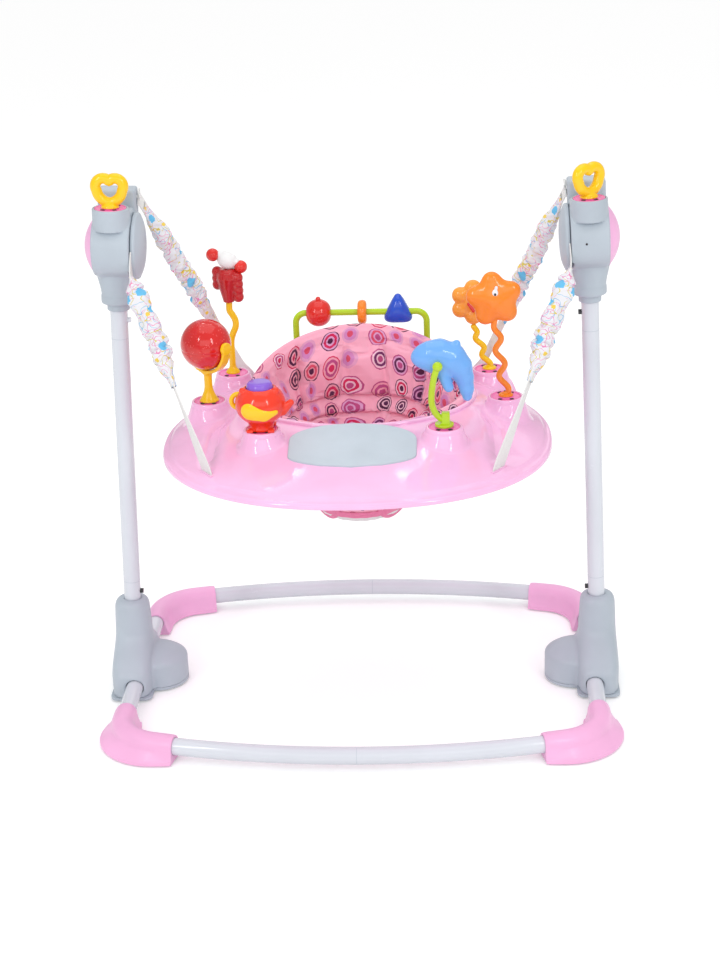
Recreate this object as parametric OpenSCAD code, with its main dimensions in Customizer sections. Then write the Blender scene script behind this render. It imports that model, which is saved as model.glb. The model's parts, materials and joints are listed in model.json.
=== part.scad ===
// Baby jumper: a tube stand with two leaning posts that carries a bouncing play tray on four
// sprung straps. The tray holds a padded seat and seven toys. Millimetres, +X to the right,
// +Y to the back, +Z up, origin on the floor in the middle of the stand.

/* [Stand tubes] */
// Outer diameter of the steel tube
tube_d = 25.4; // [23:0.1:28]
// Wall of the steel tube
tube_wall = 1.5; // [1:0.1:2]
// Height of the base tube's axis above the floor
base_z = 23; // [22.5:0.5:28]
// From the middle to the side runs of the base
base_half_w = 350; // [335:1:370]
// From the middle to the front and rear bars, at mid bar
base_half_d = 284; // [270:1:310]
// Bow radius of the front and rear bars
bow_r = 1200; // [1000:10:1800]
// Radius of the corner bends
bend_r = 70; // [60:1:85]
// Length of the inner sleeve at a bar's middle joint
sleeve_len = 80; // [50:1:120]

/* [Corner boots] */
// Wall of the boot round the tube
boot_wall = 4.5; // [3:0.1:6]
// How far the flange at the bottom stands out
boot_flange = 3.5; // [1:0.1:6]
// Height of the flange
boot_flange_h = 4; // [2:0.1:6]
// Length of the boot along the side run
boot_side_len = 28; // [10:1:50]
// Length of the boot along the bowed bar
boot_bow_len = 34; // [10:1:80]

/* [Foot housings] */
// Width of the housing's skirt
foot_w = 64; // [58:1:70]
// Depth of the housing's skirt, front to back
foot_d = 156; // [140:1:180]
// Height of the skirt's upright wall
foot_skirt_h = 33; // [28:1:40]
// Height where the skirt has drawn in to the tower
foot_waist_z = 78; // [70:1:95]
// Height of the tower's top
foot_top = 142; // [125:1:160]
// Radius of the tower at its waist
tower_r = 29; // [26:0.5:32]
// Radius of the tower below its top edge
tower_top_r = 26; // [22:0.5:28]
// Radius of the round lobe that points inwards
lobe_r = 46; // [40:1:55]
// Height of the lobe's top
lobe_top = 50; // [45:1:60]
// How far the lobe's centre lies inside the housing's middle line
lobe_in = 33; // [25:1:40]
// Wall of the moulded housings
shell_wall = 3; // [2:0.1:4]
// Thickness of the plate under each housing
plate_t = 4; // [3:0.1:5]
// Thickness of the rubber pads
pad_t = 3; // [2:0.1:4]

/* [Posts] */
// From the base's side runs out to a post's axis, at floor level
post_out = 10; // [0:1:20]
// Inward lean of the posts, in degrees
post_lean = 1.85; // [0:0.05:3]
// Height of the bottom end of the lower stub
stub_bottom = 50; // [48:1:60]
// Height of the seam between the lower stub and the post
seam_low = 171; // [165:1:190]
// Height of the seam between the post and the upper stub
seam_high = 560; // [520:1:568]
// Height of the top end of the upper stub
stub_top = 648; // [640:1:652]
// Length of the reduced ends of the post
swage_len = 60; // [50:1:75]
// Diameter of the snap buttons
button_d = 7.5; // [5:0.1:8]
// How far a snap button stands out of the tube, which is also its travel
button_out = 4.5; // [3:0.1:5]
// From the foot's top up to the lower snap button
button_low_up = 11; // [8:1:20]
// From the head's collar down to the upper snap button
button_high_down = 16; // [10:1:25]

/* [Heads] */
// Height of the drum's axis along the post
head_z = 698; // [690:1:710]
// Radius of the drum
drum_r = 57; // [54:0.5:60]
// Half of the drum's width
drum_half_w = 27; // [25:0.5:30]
// Length of the small collar round the tube
collar_low_h = 11; // [8:0.5:14]
// Length of the large collar
collar_high_h = 13; // [10:0.5:16]
// Radius of the small collar
collar_low_r = 16.3; // [15.5:0.1:18]
// Radius of the large collar
collar_high_r = 24; // [21:0.5:26]
// Height of the cone between the large collar and the drum
cone_h = 37; // [33:0.5:42]
// Radius of the cone where it runs into the drum
cone_r = 36; // [30:0.5:40]
// Radius of the toy spout on top of the drum
spout_r = 26; // [24:0.5:26.5]
// From the drum's axis forwards to the spout's axis
spout_y = 30; // [26:0.5:34]
// From the drum's axis up to the spout's ledge
spout_ledge_up = 33; // [28:0.5:38]
// From the drum's axis up to the spout's rim
spout_top_up = 62; // [58:0.5:66]
// From the drum's axis back to the strap block's front
block_y = 18; // [10:0.5:24]
// Depth of the strap block
block_d = 34; // [28:0.5:40]
// From the drum's axis up to the strap block's top
block_up = 76; // [70:0.5:82]
// Radius of the outer cap's rim
cap_r = 43; // [40:0.5:50]
// Height of the outer cap's dome
cap_h = 17; // [14:0.5:20]
// Radius of the inner dish
dish_r = 54; // [48:0.5:56]
// Thickness of the inner dish
dish_t = 11; // [8:0.5:14]
// Gap between drum and dish, where the front strap goes in
dish_gap = 4; // [3.5:0.1:6]

/* [Hearts] */
// Radius of the heart's tube
heart_tube_r = 6; // [4:0.1:7]
// From the heart's middle to a lobe's centre
heart_lobe_x = 9; // [7:0.1:11]
// Radius of a lobe's centre line
heart_lobe_r = 13; // [11:0.1:15]
// From the heart's point up to the lobe centres
heart_lobe_z = 24; // [20:0.5:28]
// Turn of the right-hand heart as it stands at rest, in degrees
heart_turn_right = 36; // [0:1:90]

/* [Tray] */
// Half of the tray's width
tray_half_w = 287; // [280:1:300]
// Half of the tray's depth
tray_half_d = 262; // [255:1:275]
// Half of the seat opening's width
hole_half_w = 173; // [165:1:178]
// Half of the seat opening's depth
hole_half_d = 135; // [128:1:140]
// From the tray's middle back to the opening's middle
hole_y = 60; // [52:1:64]
// Height of the tray's surface at the opening
tray_top = 442; // [436:1:444]
// Drop of the surface from the opening to the rim
tray_drop = 44; // [36:1:52]
// Thickness of the tray's moulding
tray_t = 3.5; // [2.5:0.1:4.5]
// Height of the turned-down outer edge
rim_h = 8; // [5:0.5:14]
// Height of the toy sockets' faces
cup_z = 453; // [450:0.5:460]
// Radius of a toy cup at its top
cup_r = 25.5; // [24:0.5:28]
// Radius of a toy cup at its foot
cup_foot_r = 33; // [28:0.5:36]
// Radius of a socket disc
socket_r = 22.5; // [20:0.5:23]
// Thickness of a socket disc
socket_t = 5; // [4:0.1:7]
// Radius of the plug hole in a socket disc
plug_r = 9; // [7:0.1:11]
// Half of the front insert's width
insert_half_w = 91; // [80:1:100]
// From the middle forwards to the insert's front edge
insert_front = 180; // [165:1:190]
// From the middle forwards to the insert's rear edge
insert_rear = 82; // [80:1:95]
// Thickness of the insert at its front edge
insert_t = 2.6; // [2:0.1:4]
// How much thicker the insert is at its rear edge
insert_rise = 6; // [2:0.5:9]

/* [Seat] */
// Height of the seat pad's top at the sides
pad_side_z = 452; // [448:1:460]
// Rise of the seat's back above the sides
pad_back_rise = 66; // [50:1:80]
// Height of the seat's lowest point
pad_bottom = 250; // [235:1:275]
// Thickness of the padding
pad_thick = 11; // [8:0.5:14]
// How far the padding swells between its seams
pad_swell = 3.5; // [0:0.5:5]
// Number of sewn panels round the seat
pad_panels = 6; // [4:1:9]
// Half of the seat floor's width
floor_half_w = 64; // [58:1:75]
// Half of the seat floor's depth
floor_half_d = 60; // [50:1:70]
// Radius of a leg hole
leg_r = 45; // [40:1:50]
// Wall of the seat's rim ring
rim_ring_t = 4; // [3:0.1:5]
// Height of the seat's rim ring below the tray's surface
rim_ring_h = 24; // [16:1:40]

/* [Straps] */
// Width of the webbing
web_w = 25; // [18:0.5:28]
// Thickness of the webbing
web_t = 1.6; // [1:0.1:2]
// From the middle to a front anchor, sideways
anchor_front_x = 205; // [195:1:212]
// From the middle forwards to a front anchor
anchor_front_y = 156; // [145:1:165]
// From the middle to a rear anchor, sideways
anchor_rear_x = 172; // [168:1:176]
// From the middle back to a rear anchor
anchor_rear_y = 200; // [196:1:203]
// Turn of a rear anchor's slot, in degrees from the line across the tray
rear_slot_turn = -21; // [-30:1:-15]
// Part of a front strap's length under the ruffled sleeve
cover_front = 0.565; // [0.5:0.005:0.65]
// Part of a rear strap's length under the ruffled sleeve
cover_rear = 0.64; // [0.55:0.005:0.68]
// Half thickness of a ruffled sleeve, across the webbing
sleeve_r = 13; // [11:0.1:15]
// Wall of a ruffled sleeve
sleeve_wall = 1.6; // [1:0.1:2.5]
// Depth of the sleeve's ruffles
ruffle = 1.5; // [0:0.1:2]
// Number of ruffles along a sleeve
ruffles = 9; // [5:1:12]
// Radius of the bounce spring in a sleeve
spring_r = 5; // [3:0.1:5.5]

/* [Toys] */
// Radius of the teapot's belly
pot_r = 35; // [28:0.5:38]
// Height of the teapot's belly
pot_h = 54; // [46:0.5:60]
// Radius of the teapot's press button
pot_button_r = 19; // [14:0.5:22]
// Travel of the teapot's press button
pot_button_travel = 4; // [2:0.1:5]
// Radius of the spinning ball
ball_r = 37.5; // [30:0.5:40]
// Height of the spinning ball's centre above its socket
ball_up = 87; // [80:1:95]
// Height of the crab's stem
crab_stem_h = 114; // [100:1:130]
// Half of the arch's width between its legs
arch_half_w = 102; // [95:1:110]
// From the middle back to the arch
arch_y = 205; // [202:1:210]
// Height of the arch's bar
arch_z = 530; // [525:1:560]
// Radius of the arch's rod
arch_rod_r = 5; // [4:0.1:6]
// Corner radius of the arch
arch_bend = 16; // [12:1:20]
// Height of the dolphin's pivot above its socket
dolphin_up = 94; // [85:1:105]
// Height of the star's centre above its socket
star_up = 148; // [130:1:160]
// From the star's centre to the centre of a point's round end
star_arm = 31; // [26:0.5:34]
// Height of the flower's centre above its socket
flower_up = 106; // [100:1:125]
// From the flower's centre to a petal's centre
petal_at = 22; // [18:0.5:26]
// Radius of a wavy toy post
wave_rod_r = 4.5; // [3.5:0.1:5.5]

/* [Fits] */
// Clearance on the radius between parts that are pushed together
fit = 0.05; // [0.02:0.01:0.1]
// Clearance between parts that move past each other
gap = 0.4; // [0.3:0.05:0.6]

/* [Hidden] */
$fn = 64;
fine = 720;

// Base tube: each quarter runs along a side, round a corner bend and along half a bowed bar
bow_c = bow_r - base_half_d;
bow_a = asin((base_half_w - bend_r) / (bow_r - bend_r));
bend_cy = sqrt(pow(bow_r - bend_r, 2) - pow(base_half_w - bend_r, 2)) - bow_c;
bore_d = tube_d - 2 * tube_wall;
post_x = base_half_w + post_out;
foot_x = post_x - foot_top * tan(post_lean) + 1;
socket_depth = 33;
side_end = foot_d / 2 - socket_depth;
plate_top = pad_t + plate_t;
lobe_x = foot_x - lobe_in;
foot_corner_r = 12;
boot_r = tube_d / 2 + boot_wall;
boot_bottom = 2;
boss_wall = 2.3;

// Posts
swage_d = bore_d - 2 * fit;
swage_bore = swage_d - 2 * tube_wall;
collar_z = head_z - cone_z_offset();
button_low = foot_top + button_low_up;
button_high = collar_z - button_high_down;

// Heads, in a frame whose Z runs up the post and whose X points away from the middle
spout_ledge = head_z + spout_ledge_up;
spout_top = head_z + spout_top_up;
head_disc_top = spout_top + 1;
head_disc_t = 5;
head_disc_seat = 19;
heart_stem_r = 6.5;
heart_foot_r = 13;
heart_z = head_disc_top + 14;
screw_spots = [[28, -16], [-28, -16], [0, 32]];
strap_slot_x = -(drum_half_w + dish_gap / 2);

// Toy cups: front, middle, rear and arch pairs; the middle and rear ones keep their distance from the rim
cups = [[130, -105], [220, 22], [198, 150], [arch_half_w, arch_y]];
tray_power = 2.2;
tray_curve = 1.4;
tray_blend = 1.8;
tray_steps = 72;
seat_steps = 36;

// Bead centres along the arch
bead_round_x = -66;
bead_ring_x = 2;
bead_fin_x = 58;

// Colours
c_grey = "#AEB9C4";
c_tube = "#DCE1E8";
c_pink = "#F7B9E0";
c_hot = "#F46BB8";
c_yellow = "#FFC814";
c_red = "#E3362C";
c_orange = "#FF8A2A";
c_lime = "#B4D91E";
c_blue = "#6FAEF2";
c_fabric = "#F5A3BE";
c_white = "#F2F2F2";
c_black = "#2A2A2C";

// Height from the collars' bottom to the drum's axis
function cone_z_offset() = collar_low_h + collar_high_h + cone_h + 34;

// A point between a and b
function lerp(a, b, t) = a + (b - a) * t;
function unit(v) = v / norm(v);

// A point given in a right-hand post's frame, in the object's frame
function on_post_pt(p) = [post_x + p.x * cos(post_lean) - p.z * sin(post_lean), p.y,
    p.x * sin(post_lean) + p.z * cos(post_lean)];

// Height of the tray's surface over the plan point x, y
function signed_pow(v, e) = sign(v) * pow(abs(v), e);
function hole_norm(x, y) = norm([x / hole_half_w, (y - hole_y) / hole_half_d]);
function rim_norm(x, y) = pow(pow(abs(x / tray_half_w), tray_power) + pow(abs(y / tray_half_d), tray_power),
    1 / tray_power);
function tray_s(x, y) = let(i = max(0, hole_norm(x, y) - 1), o = max(0, 1 - rim_norm(x, y)))
    i / max(0.0001, i + tray_blend * o);
function tray_z(x, y) = tray_top - tray_drop * pow(tray_s(x, y), tray_curve);
function hole_pt(a, inset) = [(hole_half_w - inset) * cos(a), hole_y + (hole_half_d - inset) * sin(a)];
function rim_pt(a, inset) = [(tray_half_w - inset) * signed_pow(cos(a), 2 / tray_power),
    (tray_half_d - inset) * signed_pow(sin(a), 2 / tray_power)];

// Triangles over a grid of rings, each with m points; a wrapped grid joins its last ring to its first
function grid_faces(n, m, wrap) = concat(
    [for (i = [0 : wrap ? n - 1 : n - 2], j = [0 : m - 1], k = [0, 1])
        let(k1 = (j + 1) % m, r1 = (i + 1) % n * m, a = i * m + j, b = i * m + k1, c = r1 + j, d = r1 + k1)
        k == 0 ? [a, c, b] : [b, c, d]],
    wrap ? [] : [for (j = [1 : m - 2]) [0, j, j + 1]],
    wrap ? [] : [for (j = [1 : m - 2]) [(n - 1) * m, (n - 1) * m + j + 1, (n - 1) * m + j]]);

module skin(rings, wrap = false)
    polyhedron(points = [for (r = rings, p = r) p], faces = grid_faces(len(rings), len(rings[0]), wrap));

// A ring of points round the point c, across the direction d, with w as its first axis
function ring_pts(c, d, w, rw, rn, sides) = let(n = cross(d, w))
    [for (j = [0 : sides - 1]) c + w * rw * cos(360 * j / sides) + n * rn * sin(360 * j / sides)];

// Round rod of radius r along a list of points that stay near the plane across w
module rod_along(pts, r, w, sides = 10, wrap = false) {
    n = len(pts);
    function at(i) = wrap ? pts[(i + n) % n] : pts[min(max(i, 0), n - 1)];
    skin([for (i = [0 : n - 1]) let(d = unit(at(i + 1) - at(i - 1)), u = unit(w - d * (w * d)))
        ring_pts(pts[i], d, u, r, r, sides)], wrap);
}

module on_side(side) {
    mirror([side < 0 ? 1 : 0, 0, 0]) children();
}
module on_post(side) {
    on_side(side) translate([post_x, 0, 0]) rotate([0, -post_lean, 0]) children();
}
module quadrant(side, rear) {
    mirror([side < 0 ? 1 : 0, 0, 0]) mirror([0, rear < 0 ? 1 : 0, 0]) children();
}
module along_x(x0, x1, r) {
    translate([x0, 0, 0]) rotate([0, 90, 0]) cylinder(r = r, h = x1 - x0);
}

module tube_ring(d_out, d_in) {
    difference() {
        circle(d = d_out);
        circle(d = d_in);
    }
}

// Half of a bowed bar, from its middle joint to the corner bend
module base_bar(side, rear) {
    butt = gap / bow_r * 180 / PI;
    color(c_tube) quadrant(side, rear) translate([0, -bow_c, base_z]) rotate([0, 0, 90 - bow_a + butt])
        rotate_extrude(angle = bow_a - butt, $fn = fine) translate([bow_r, 0]) tube_ring(tube_d, bore_d);
}

// The side runs with their corner bends, each from a foot housing to a bar
module base_side_tubes() {
    color(c_tube) for (side = [-1, 1], rear = [-1, 1]) quadrant(side, rear) {
        translate([base_half_w, bend_cy, base_z]) rotate([90, 0, 0]) linear_extrude(bend_cy - side_end)
            tube_ring(tube_d, bore_d);
        translate([base_half_w - bend_r, bend_cy, base_z]) rotate_extrude(angle = 90 - bow_a, $fn = fine / 4)
            translate([bend_r, 0]) tube_ring(tube_d, bore_d);
    }
}

module base_joint_sleeves() {
    sleeve_a = sleeve_len / bow_r * 180 / PI;
    color(c_white) for (rear = [-1, 1]) quadrant(1, rear) translate([0, -bow_c, base_z])
        rotate([0, 0, 90 - sleeve_a / 2]) rotate_extrude(angle = sleeve_a, $fn = fine) translate([bow_r, 0])
            tube_ring(swage_d, swage_bore);
}

// Stops along a boot, from its end on the side run, round the bend, to its end on the bar:
// place on the tube's axis, direction away from the bend's centre, and how much slimmer the boot is there
bend_c = [base_half_w - bend_r, bend_cy];
boot_steps = 9;
boot_stops = concat(
    [[[base_half_w, bend_cy - boot_side_len], [1, 0], 2.6],
     [[base_half_w, bend_cy - boot_side_len + 6], [1, 0], 0.8]],
    [for (i = [0 : boot_steps]) let(d = ray((90 - bow_a) * i / boot_steps)) [bend_c + bend_r * d, d, 0]],
    [for (q = [0.5, 1]) let(d = ray(90 - bow_a + q * boot_bow_len / bow_r * 180 / PI))
        [[0, -bow_c] + bow_r * d, d, q < 1 ? 0 : 0.8]]);
function ray(a) = [cos(a), sin(a)];

// Outline of the boot across the tube, clockwise from its lowest middle point: [out from the axis, height]
boot_arc = 8;
function boot_outline(slim) =
    let(r = boot_r - slim, f = r + boot_flange, z0 = boot_bottom, z1 = boot_bottom + boot_flange_h)
    concat([[0, z0], [-f, z0], [-f, z1], [-r, z1 + 2]],
        [for (i = [0 : boot_arc]) [-r * cos(180 * i / boot_arc), base_z + r * sin(180 * i / boot_arc)]],
        [[r, z1 + 2], [f, z1], [f, z0]]);
boot_sides = len(boot_outline(0));
boot_bore_r = (tube_d / 2 + 0.5) / cos(180 / boot_sides);
boot_bore = [for (j = [0 : boot_sides - 1]) let(a = -90 - 360 * j / boot_sides)
    [boot_bore_r * cos(a), base_z + boot_bore_r * sin(a)]];
function boot_ring(stop, outline) = [for (q = outline) let(p = stop[0] + stop[1] * q.x) [p.x, p.y, q.y]];

module corner_boot(side, rear) {
    n = len(boot_stops);
    color(c_pink) quadrant(side, rear) skin(concat(
        [for (stop = boot_stops) boot_ring(stop, boot_outline(stop[2]))],
        [for (i = [n - 1 : -1 : 0]) boot_ring(boot_stops[i], boot_bore)]), true);
}

// Plan outline of a foot: a rounded skirt with the round lobe
module foot_outline() {
    w = foot_w / 2;
    d = foot_d / 2;
    r = foot_corner_r;
    translate([foot_x, 0]) {
        square([2 * w - 2 * r, 2 * d], center = true);
        square([2 * w, 2 * d - 2 * r], center = true);
        for (sx = [-1, 1], sy = [-1, 1]) translate([sx * (w - r), sy * (d - r)]) circle(r = r);
    }
    translate([lobe_x, 0]) circle(r = lobe_r);
}

// Outer form of a foot housing, or its hollow when inset by the wall
module foot_form(inset) {
    w = foot_w / 2 - inset;
    d = foot_d / 2 - inset;
    r = foot_corner_r - inset;
    tower_x = foot_x + 0.5;
    edge = 10;
    hull() {
        for (sx = [-1, 1], sy = [-1, 1]) translate([foot_x + sx * (w - r), sy * (d - r), plate_top])
            cylinder(r = r, h = foot_skirt_h - inset, $fn = 32);
        translate([tower_x, 0, foot_waist_z - 2 - inset]) cylinder(r = tower_r - inset, h = 2, $fn = 48);
    }
    hull() {
        translate([tower_x, 0, foot_waist_z - 20]) cylinder(r = tower_r - inset, h = 20, $fn = 48);
        for (q = [[18, 0, 8], [6, 2.5, 2], [2, 7, 2]]) translate([tower_x, 0, foot_top - q[0] - inset])
            cylinder(r = tower_top_r - q[1] - inset, h = q[2], $fn = 48);
    }
    translate([lobe_x, 0, plate_top]) rotate_extrude() {
        square([lobe_r - edge, lobe_top - plate_top - inset]);
        square([lobe_r - inset, lobe_top - plate_top - edge]);
        translate([lobe_r - edge, lobe_top - plate_top - edge]) circle(r = edge - inset);
    }
}

module foot_housing(side) {
    post_boss_r = tube_d / 2 + shell_wall;
    side_boss_r = tube_d / 2 + boss_wall;
    color(c_grey) on_side(side) difference() {
        union() {
            difference() {
                foot_form(0);
                translate([0, 0, -0.5]) foot_form(shell_wall);
            }
            translate([post_x, 0, 0]) rotate([0, -post_lean, 0]) translate([0, 0, stub_bottom - shell_wall])
                cylinder(r = post_boss_r, h = foot_top - stub_bottom);
            for (rear = [-1, 1]) translate([base_half_w, rear * (side_end - shell_wall), base_z])
                rotate([-90 * rear, 0, 0]) cylinder(r = side_boss_r, h = socket_depth + shell_wall - 1);
        }
        translate([post_x, 0, 0]) rotate([0, -post_lean, 0]) translate([0, 0, stub_bottom])
            cylinder(d = tube_d + 2 * fit, h = foot_top);
        for (rear = [-1, 1]) translate([base_half_w, rear * side_end, base_z]) rotate([-90 * rear, 0, 0])
            cylinder(d = tube_d + 2 * fit, h = foot_d);
    }
}

module foot_base_plates() {
    color(c_grey) for (side = [-1, 1]) on_side(side)
        translate([0, 0, pad_t]) linear_extrude(plate_t) foot_outline();
}

module rubber_pads() {
    foot_pad_r = 8;
    boot_pad_r = 9;
    color(c_black) for (side = [-1, 1]) {
        on_side(side) for (p = [[foot_x + 18, 62], [foot_x + 18, -62], [foot_x - 18, 62], [foot_x - 18, -62],
                [lobe_x - lobe_r + 12, 0]]) translate(p) cylinder(r = foot_pad_r, h = pad_t);
        for (rear = [-1, 1], a = [10, 66]) quadrant(side, rear)
            translate([base_half_w - bend_r + bend_r * cos(a), bend_cy + bend_r * sin(a), 0])
                cylinder(r = boot_pad_r, h = boot_bottom);
    }
}

// Hole for a snap button, on the side of the post that faces the middle
module button_hole(z) {
    translate([0, 0, z]) along_x(-tube_d, 0, button_d / 2 + gap / 2);
}

module post_stub(side, z0, z1, hole_z) {
    on_post(side) difference() {
        translate([0, 0, z0]) cylinder(d = tube_d, h = z1 - z0);
        translate([0, 0, z0 - 1]) cylinder(d = bore_d, h = z1 - z0 + 2);
        button_hole(hole_z);
    }
}
module post_stubs() {
    color(c_tube) for (side = [-1, 1]) {
        post_stub(side, stub_bottom, seam_low, button_low);
        post_stub(side, seam_high, stub_top, button_high);
    }
}

module post_tube(side) {
    inner_l = seam_high - seam_low + 2 * swage_len;
    color(c_tube) on_post(side) difference() {
        union() {
            translate([0, 0, seam_low]) cylinder(d = tube_d, h = seam_high - seam_low);
            translate([0, 0, seam_low - swage_len]) cylinder(d = swage_d, h = inner_l);
        }
        translate([0, 0, seam_low - swage_len - 1]) cylinder(d = swage_bore, h = inner_l + 2);
        button_hole(button_low);
        button_hole(button_high);
    }
}

// Snap button with the folded leaf that pushes it out
module snap_button(side, z) {
    leaf_w = 8;
    leaf_t = 0.8;
    leaf_h = 24;
    leaf_play = 1.9;
    head_x = -8.2;
    far_x = swage_bore / 2 - leaf_play - button_out;
    color(c_black) on_post(side) translate([0, 0, z]) {
        along_x(-tube_d / 2 - button_out, head_x + leaf_t, button_d / 2);
        translate([0, leaf_w / 2, 0]) rotate([90, 0, 0]) linear_extrude(leaf_w)
            polygon([[head_x, button_d / 2 + 1], [head_x + leaf_t, button_d / 2 + 1],
                [head_x + leaf_t, -leaf_h + 2], [far_x, button_d / 2 - 4], [far_x + leaf_t, button_d / 2 - 4],
                [head_x + 2 * leaf_t, -leaf_h], [head_x, -leaf_h]]);
    }
}

// Outer form of a head: drum, neck with collars, toy spout and strap block
module head_form() {
    translate([0, 0, head_z]) along_x(-drum_half_w, drum_half_w, drum_r);
    translate([0, 0, collar_z]) cylinder(r = collar_low_r, h = collar_low_h + 2);
    translate([0, 0, collar_z + collar_low_h]) cylinder(r = collar_high_r, h = collar_high_h);
    intersection() {
        translate([0, 0, collar_z + collar_low_h + collar_high_h - 0.01])
            cylinder(r1 = collar_high_r, r2 = cone_r, h = cone_h);
        translate([-drum_half_w, -cone_r, collar_z]) cube([2 * drum_half_w, 2 * cone_r, drum_r + cone_h]);
    }
    translate([0, -spout_y, spout_ledge]) cylinder(r = spout_r, h = spout_top - spout_ledge);
    translate([-drum_half_w, block_y, head_z]) cube([2 * drum_half_w, block_d, block_up]);
}

// Hollow of a head
module head_hollow() {
    w = drum_half_w - shell_wall;
    translate([0, 0, head_z]) along_x(-w, w, drum_r - shell_wall);
    translate([0, -spout_y, spout_ledge + shell_wall]) cylinder(r = head_disc_seat, h = spout_top);
    translate([0, -spout_y, head_disc_top - head_disc_t]) cylinder(r = socket_r + fit, h = spout_top);
    translate([-w, block_y + shell_wall, head_z])
        cube([2 * w, block_d - 2 * shell_wall, block_up - shell_wall]);
}

module head_shell() {
    boss_r = 5.5;
    screw_r = 1.9;
    difference() {
        union() {
            difference() {
                head_form();
                head_hollow();
            }
            translate([0, 0, collar_z + collar_low_h + collar_high_h])
                cylinder(r = tube_d / 2 + shell_wall, h = stub_top - collar_z - collar_low_h - collar_high_h);
            for (p = screw_spots) translate([0, p.x, head_z + p.y])
                along_x(-drum_half_w + 1, drum_half_w - 1, boss_r);
        }
        translate([0, 0, collar_z - 1]) cylinder(d = tube_d + 2 * fit, h = stub_top - collar_z + 1);
        for (p = screw_spots) translate([0, p.x, head_z + p.y])
            along_x(-drum_half_w + 8, drum_half_w + 1, screw_r);
    }
}

module head_half(side, outer) {
    big = 400;
    color(c_grey) on_post(side) intersection() {
        head_shell();
        translate([outer ? 0 : -big, -big / 2, collar_z - big / 2]) cube([big, big, 2 * big]);
    }
}

module head_screws() {
    head_r = 3.6;
    head_h = 2.2;
    color(c_tube) for (side = [-1, 1], p = screw_spots) on_post(side) translate([0, p.x, head_z + p.y]) {
        along_x(-drum_half_w + 9, drum_half_w + 1, 1.9 - fit);
        along_x(drum_half_w, drum_half_w + head_h, head_r);
    }
}

// Domed disc turned about X: rim radius r, dome height h, with the dome towards +X
function dome_profile(r, h, steps) = let(big = (r * r + h * h) / (2 * h))
    [for (i = [0 : steps]) let(q = r * i / steps) [q, sqrt(big * big - q * q) - big + h]];

module head_caps() {
    cap_wall = 2.4;
    color(c_pink) for (side = [-1, 1]) on_post(side) translate([drum_half_w, 0, head_z]) rotate([0, 90, 0])
        rotate_extrude() polygon(concat(dome_profile(cap_r, cap_h, 12), [[cap_r - cap_wall, 0]],
            [for (i = [12 : -1 : 0]) dome_profile(cap_r - cap_wall, cap_h - cap_wall, 12)[i]]));
}

module head_dishes() {
    hub_r = 16;
    edge = 4;
    color(c_grey) for (side = [-1, 1]) on_post(side) translate([-drum_half_w, 0, head_z]) rotate([0, -90, 0])
        rotate_extrude() {
            square([hub_r, dish_gap + dish_t / 2]);
            translate([0, dish_gap]) polygon(concat([[0, 0], [dish_r - 1, 0], [dish_r, 1], [dish_r, edge]],
                [for (i = [8 : -1 : 0]) dome_profile(dish_r, dish_t - edge, 8)[i] + [0, edge]]));
        }
}

module head_sockets() {
    color(c_hot) for (side = [-1, 1]) on_post(side) translate([0, -spout_y, head_disc_top - head_disc_t])
        difference() {
            cylinder(r = socket_r, h = head_disc_t);
            translate([0, 0, -1]) cylinder(r = heart_stem_r + fit, h = head_disc_t + 2);
        }
}

// Centre line of the heart: straight sides from its point to two round lobes
heart_tangent = atan2(heart_lobe_z, heart_lobe_x) - asin(heart_lobe_r / norm([heart_lobe_x, heart_lobe_z]));
heart_notch = acos(-heart_lobe_x / heart_lobe_r);
function heart_lobe(a) = [heart_lobe_x + heart_lobe_r * cos(a), heart_lobe_z + heart_lobe_r * sin(a)];
heart_half = concat([[0, 0]],
    [for (i = [0 : 12]) heart_lobe(lerp(heart_tangent - 90, heart_notch - 6, i / 12))],
    [[0, heart_lobe(heart_notch).y - 1]]);
heart_path = concat(heart_half,
    [for (i = [len(heart_half) - 2 : -1 : 1]) [-heart_half[i].x, heart_half[i].y]]);

module heart(side, turn) {
    color(c_yellow) on_post(side) translate([0, -spout_y, 0]) rotate([0, 0, turn]) {
        translate([0, 0, heart_z])
            rod_along([for (p = heart_path) [p.x, 0, p.y]], heart_tube_r, [0, 1, 0], 10, true);
        translate([0, 0, head_disc_top + gap])
            cylinder(r1 = heart_foot_r, r2 = heart_tube_r, h = heart_z - head_disc_top);
        translate([0, 0, head_disc_top - head_disc_t]) {
            translate([0, 0, -2]) cylinder(r = heart_stem_r - fit / 2, h = head_disc_t + 6);
            translate([0, 0, -3]) cylinder(r = heart_stem_r + 2, h = 3 - gap);
        }
    }
}

// Ends of a strap on the right-hand side: where it leaves the head, and its anchor in the tray
front_top = on_post_pt([strap_slot_x, -52, head_z - 32]);
rear_top = on_post_pt([strap_slot_x, 54, head_z + 54]);
front_end = [anchor_front_x, -anchor_front_y, tray_z(anchor_front_x, -anchor_front_y) + 1];
rear_end = [anchor_rear_x, anchor_rear_y, tray_z(anchor_rear_x, anchor_rear_y) + 1];
front_pin = [strap_slot_x, -40, head_z];
rear_pin = [strap_slot_x, 40, head_z + 62];

// Where the bounce spring starts along a strap, and how much sooner than the sleeve it ends
spring_from = 0.09;
spring_short = 0.02;
web_in_slit = 7;

// Direction of the webbing's width where it leaves the head
function strap_flat(top, end) =
    unit(cross(on_post_pt([1, 0, 0]) - on_post_pt([0, 0, 0]), unit(end - top)));

// Direction along a tray slot: a front one lies square to the line from the tray's middle
function slot_turn(p) = p.y < 0 ? atan2(anchor_front_x, anchor_front_y) : rear_slot_turn;
function slot_dir(p) = [cos(slot_turn(p)), sin(slot_turn(p)), 0];

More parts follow.
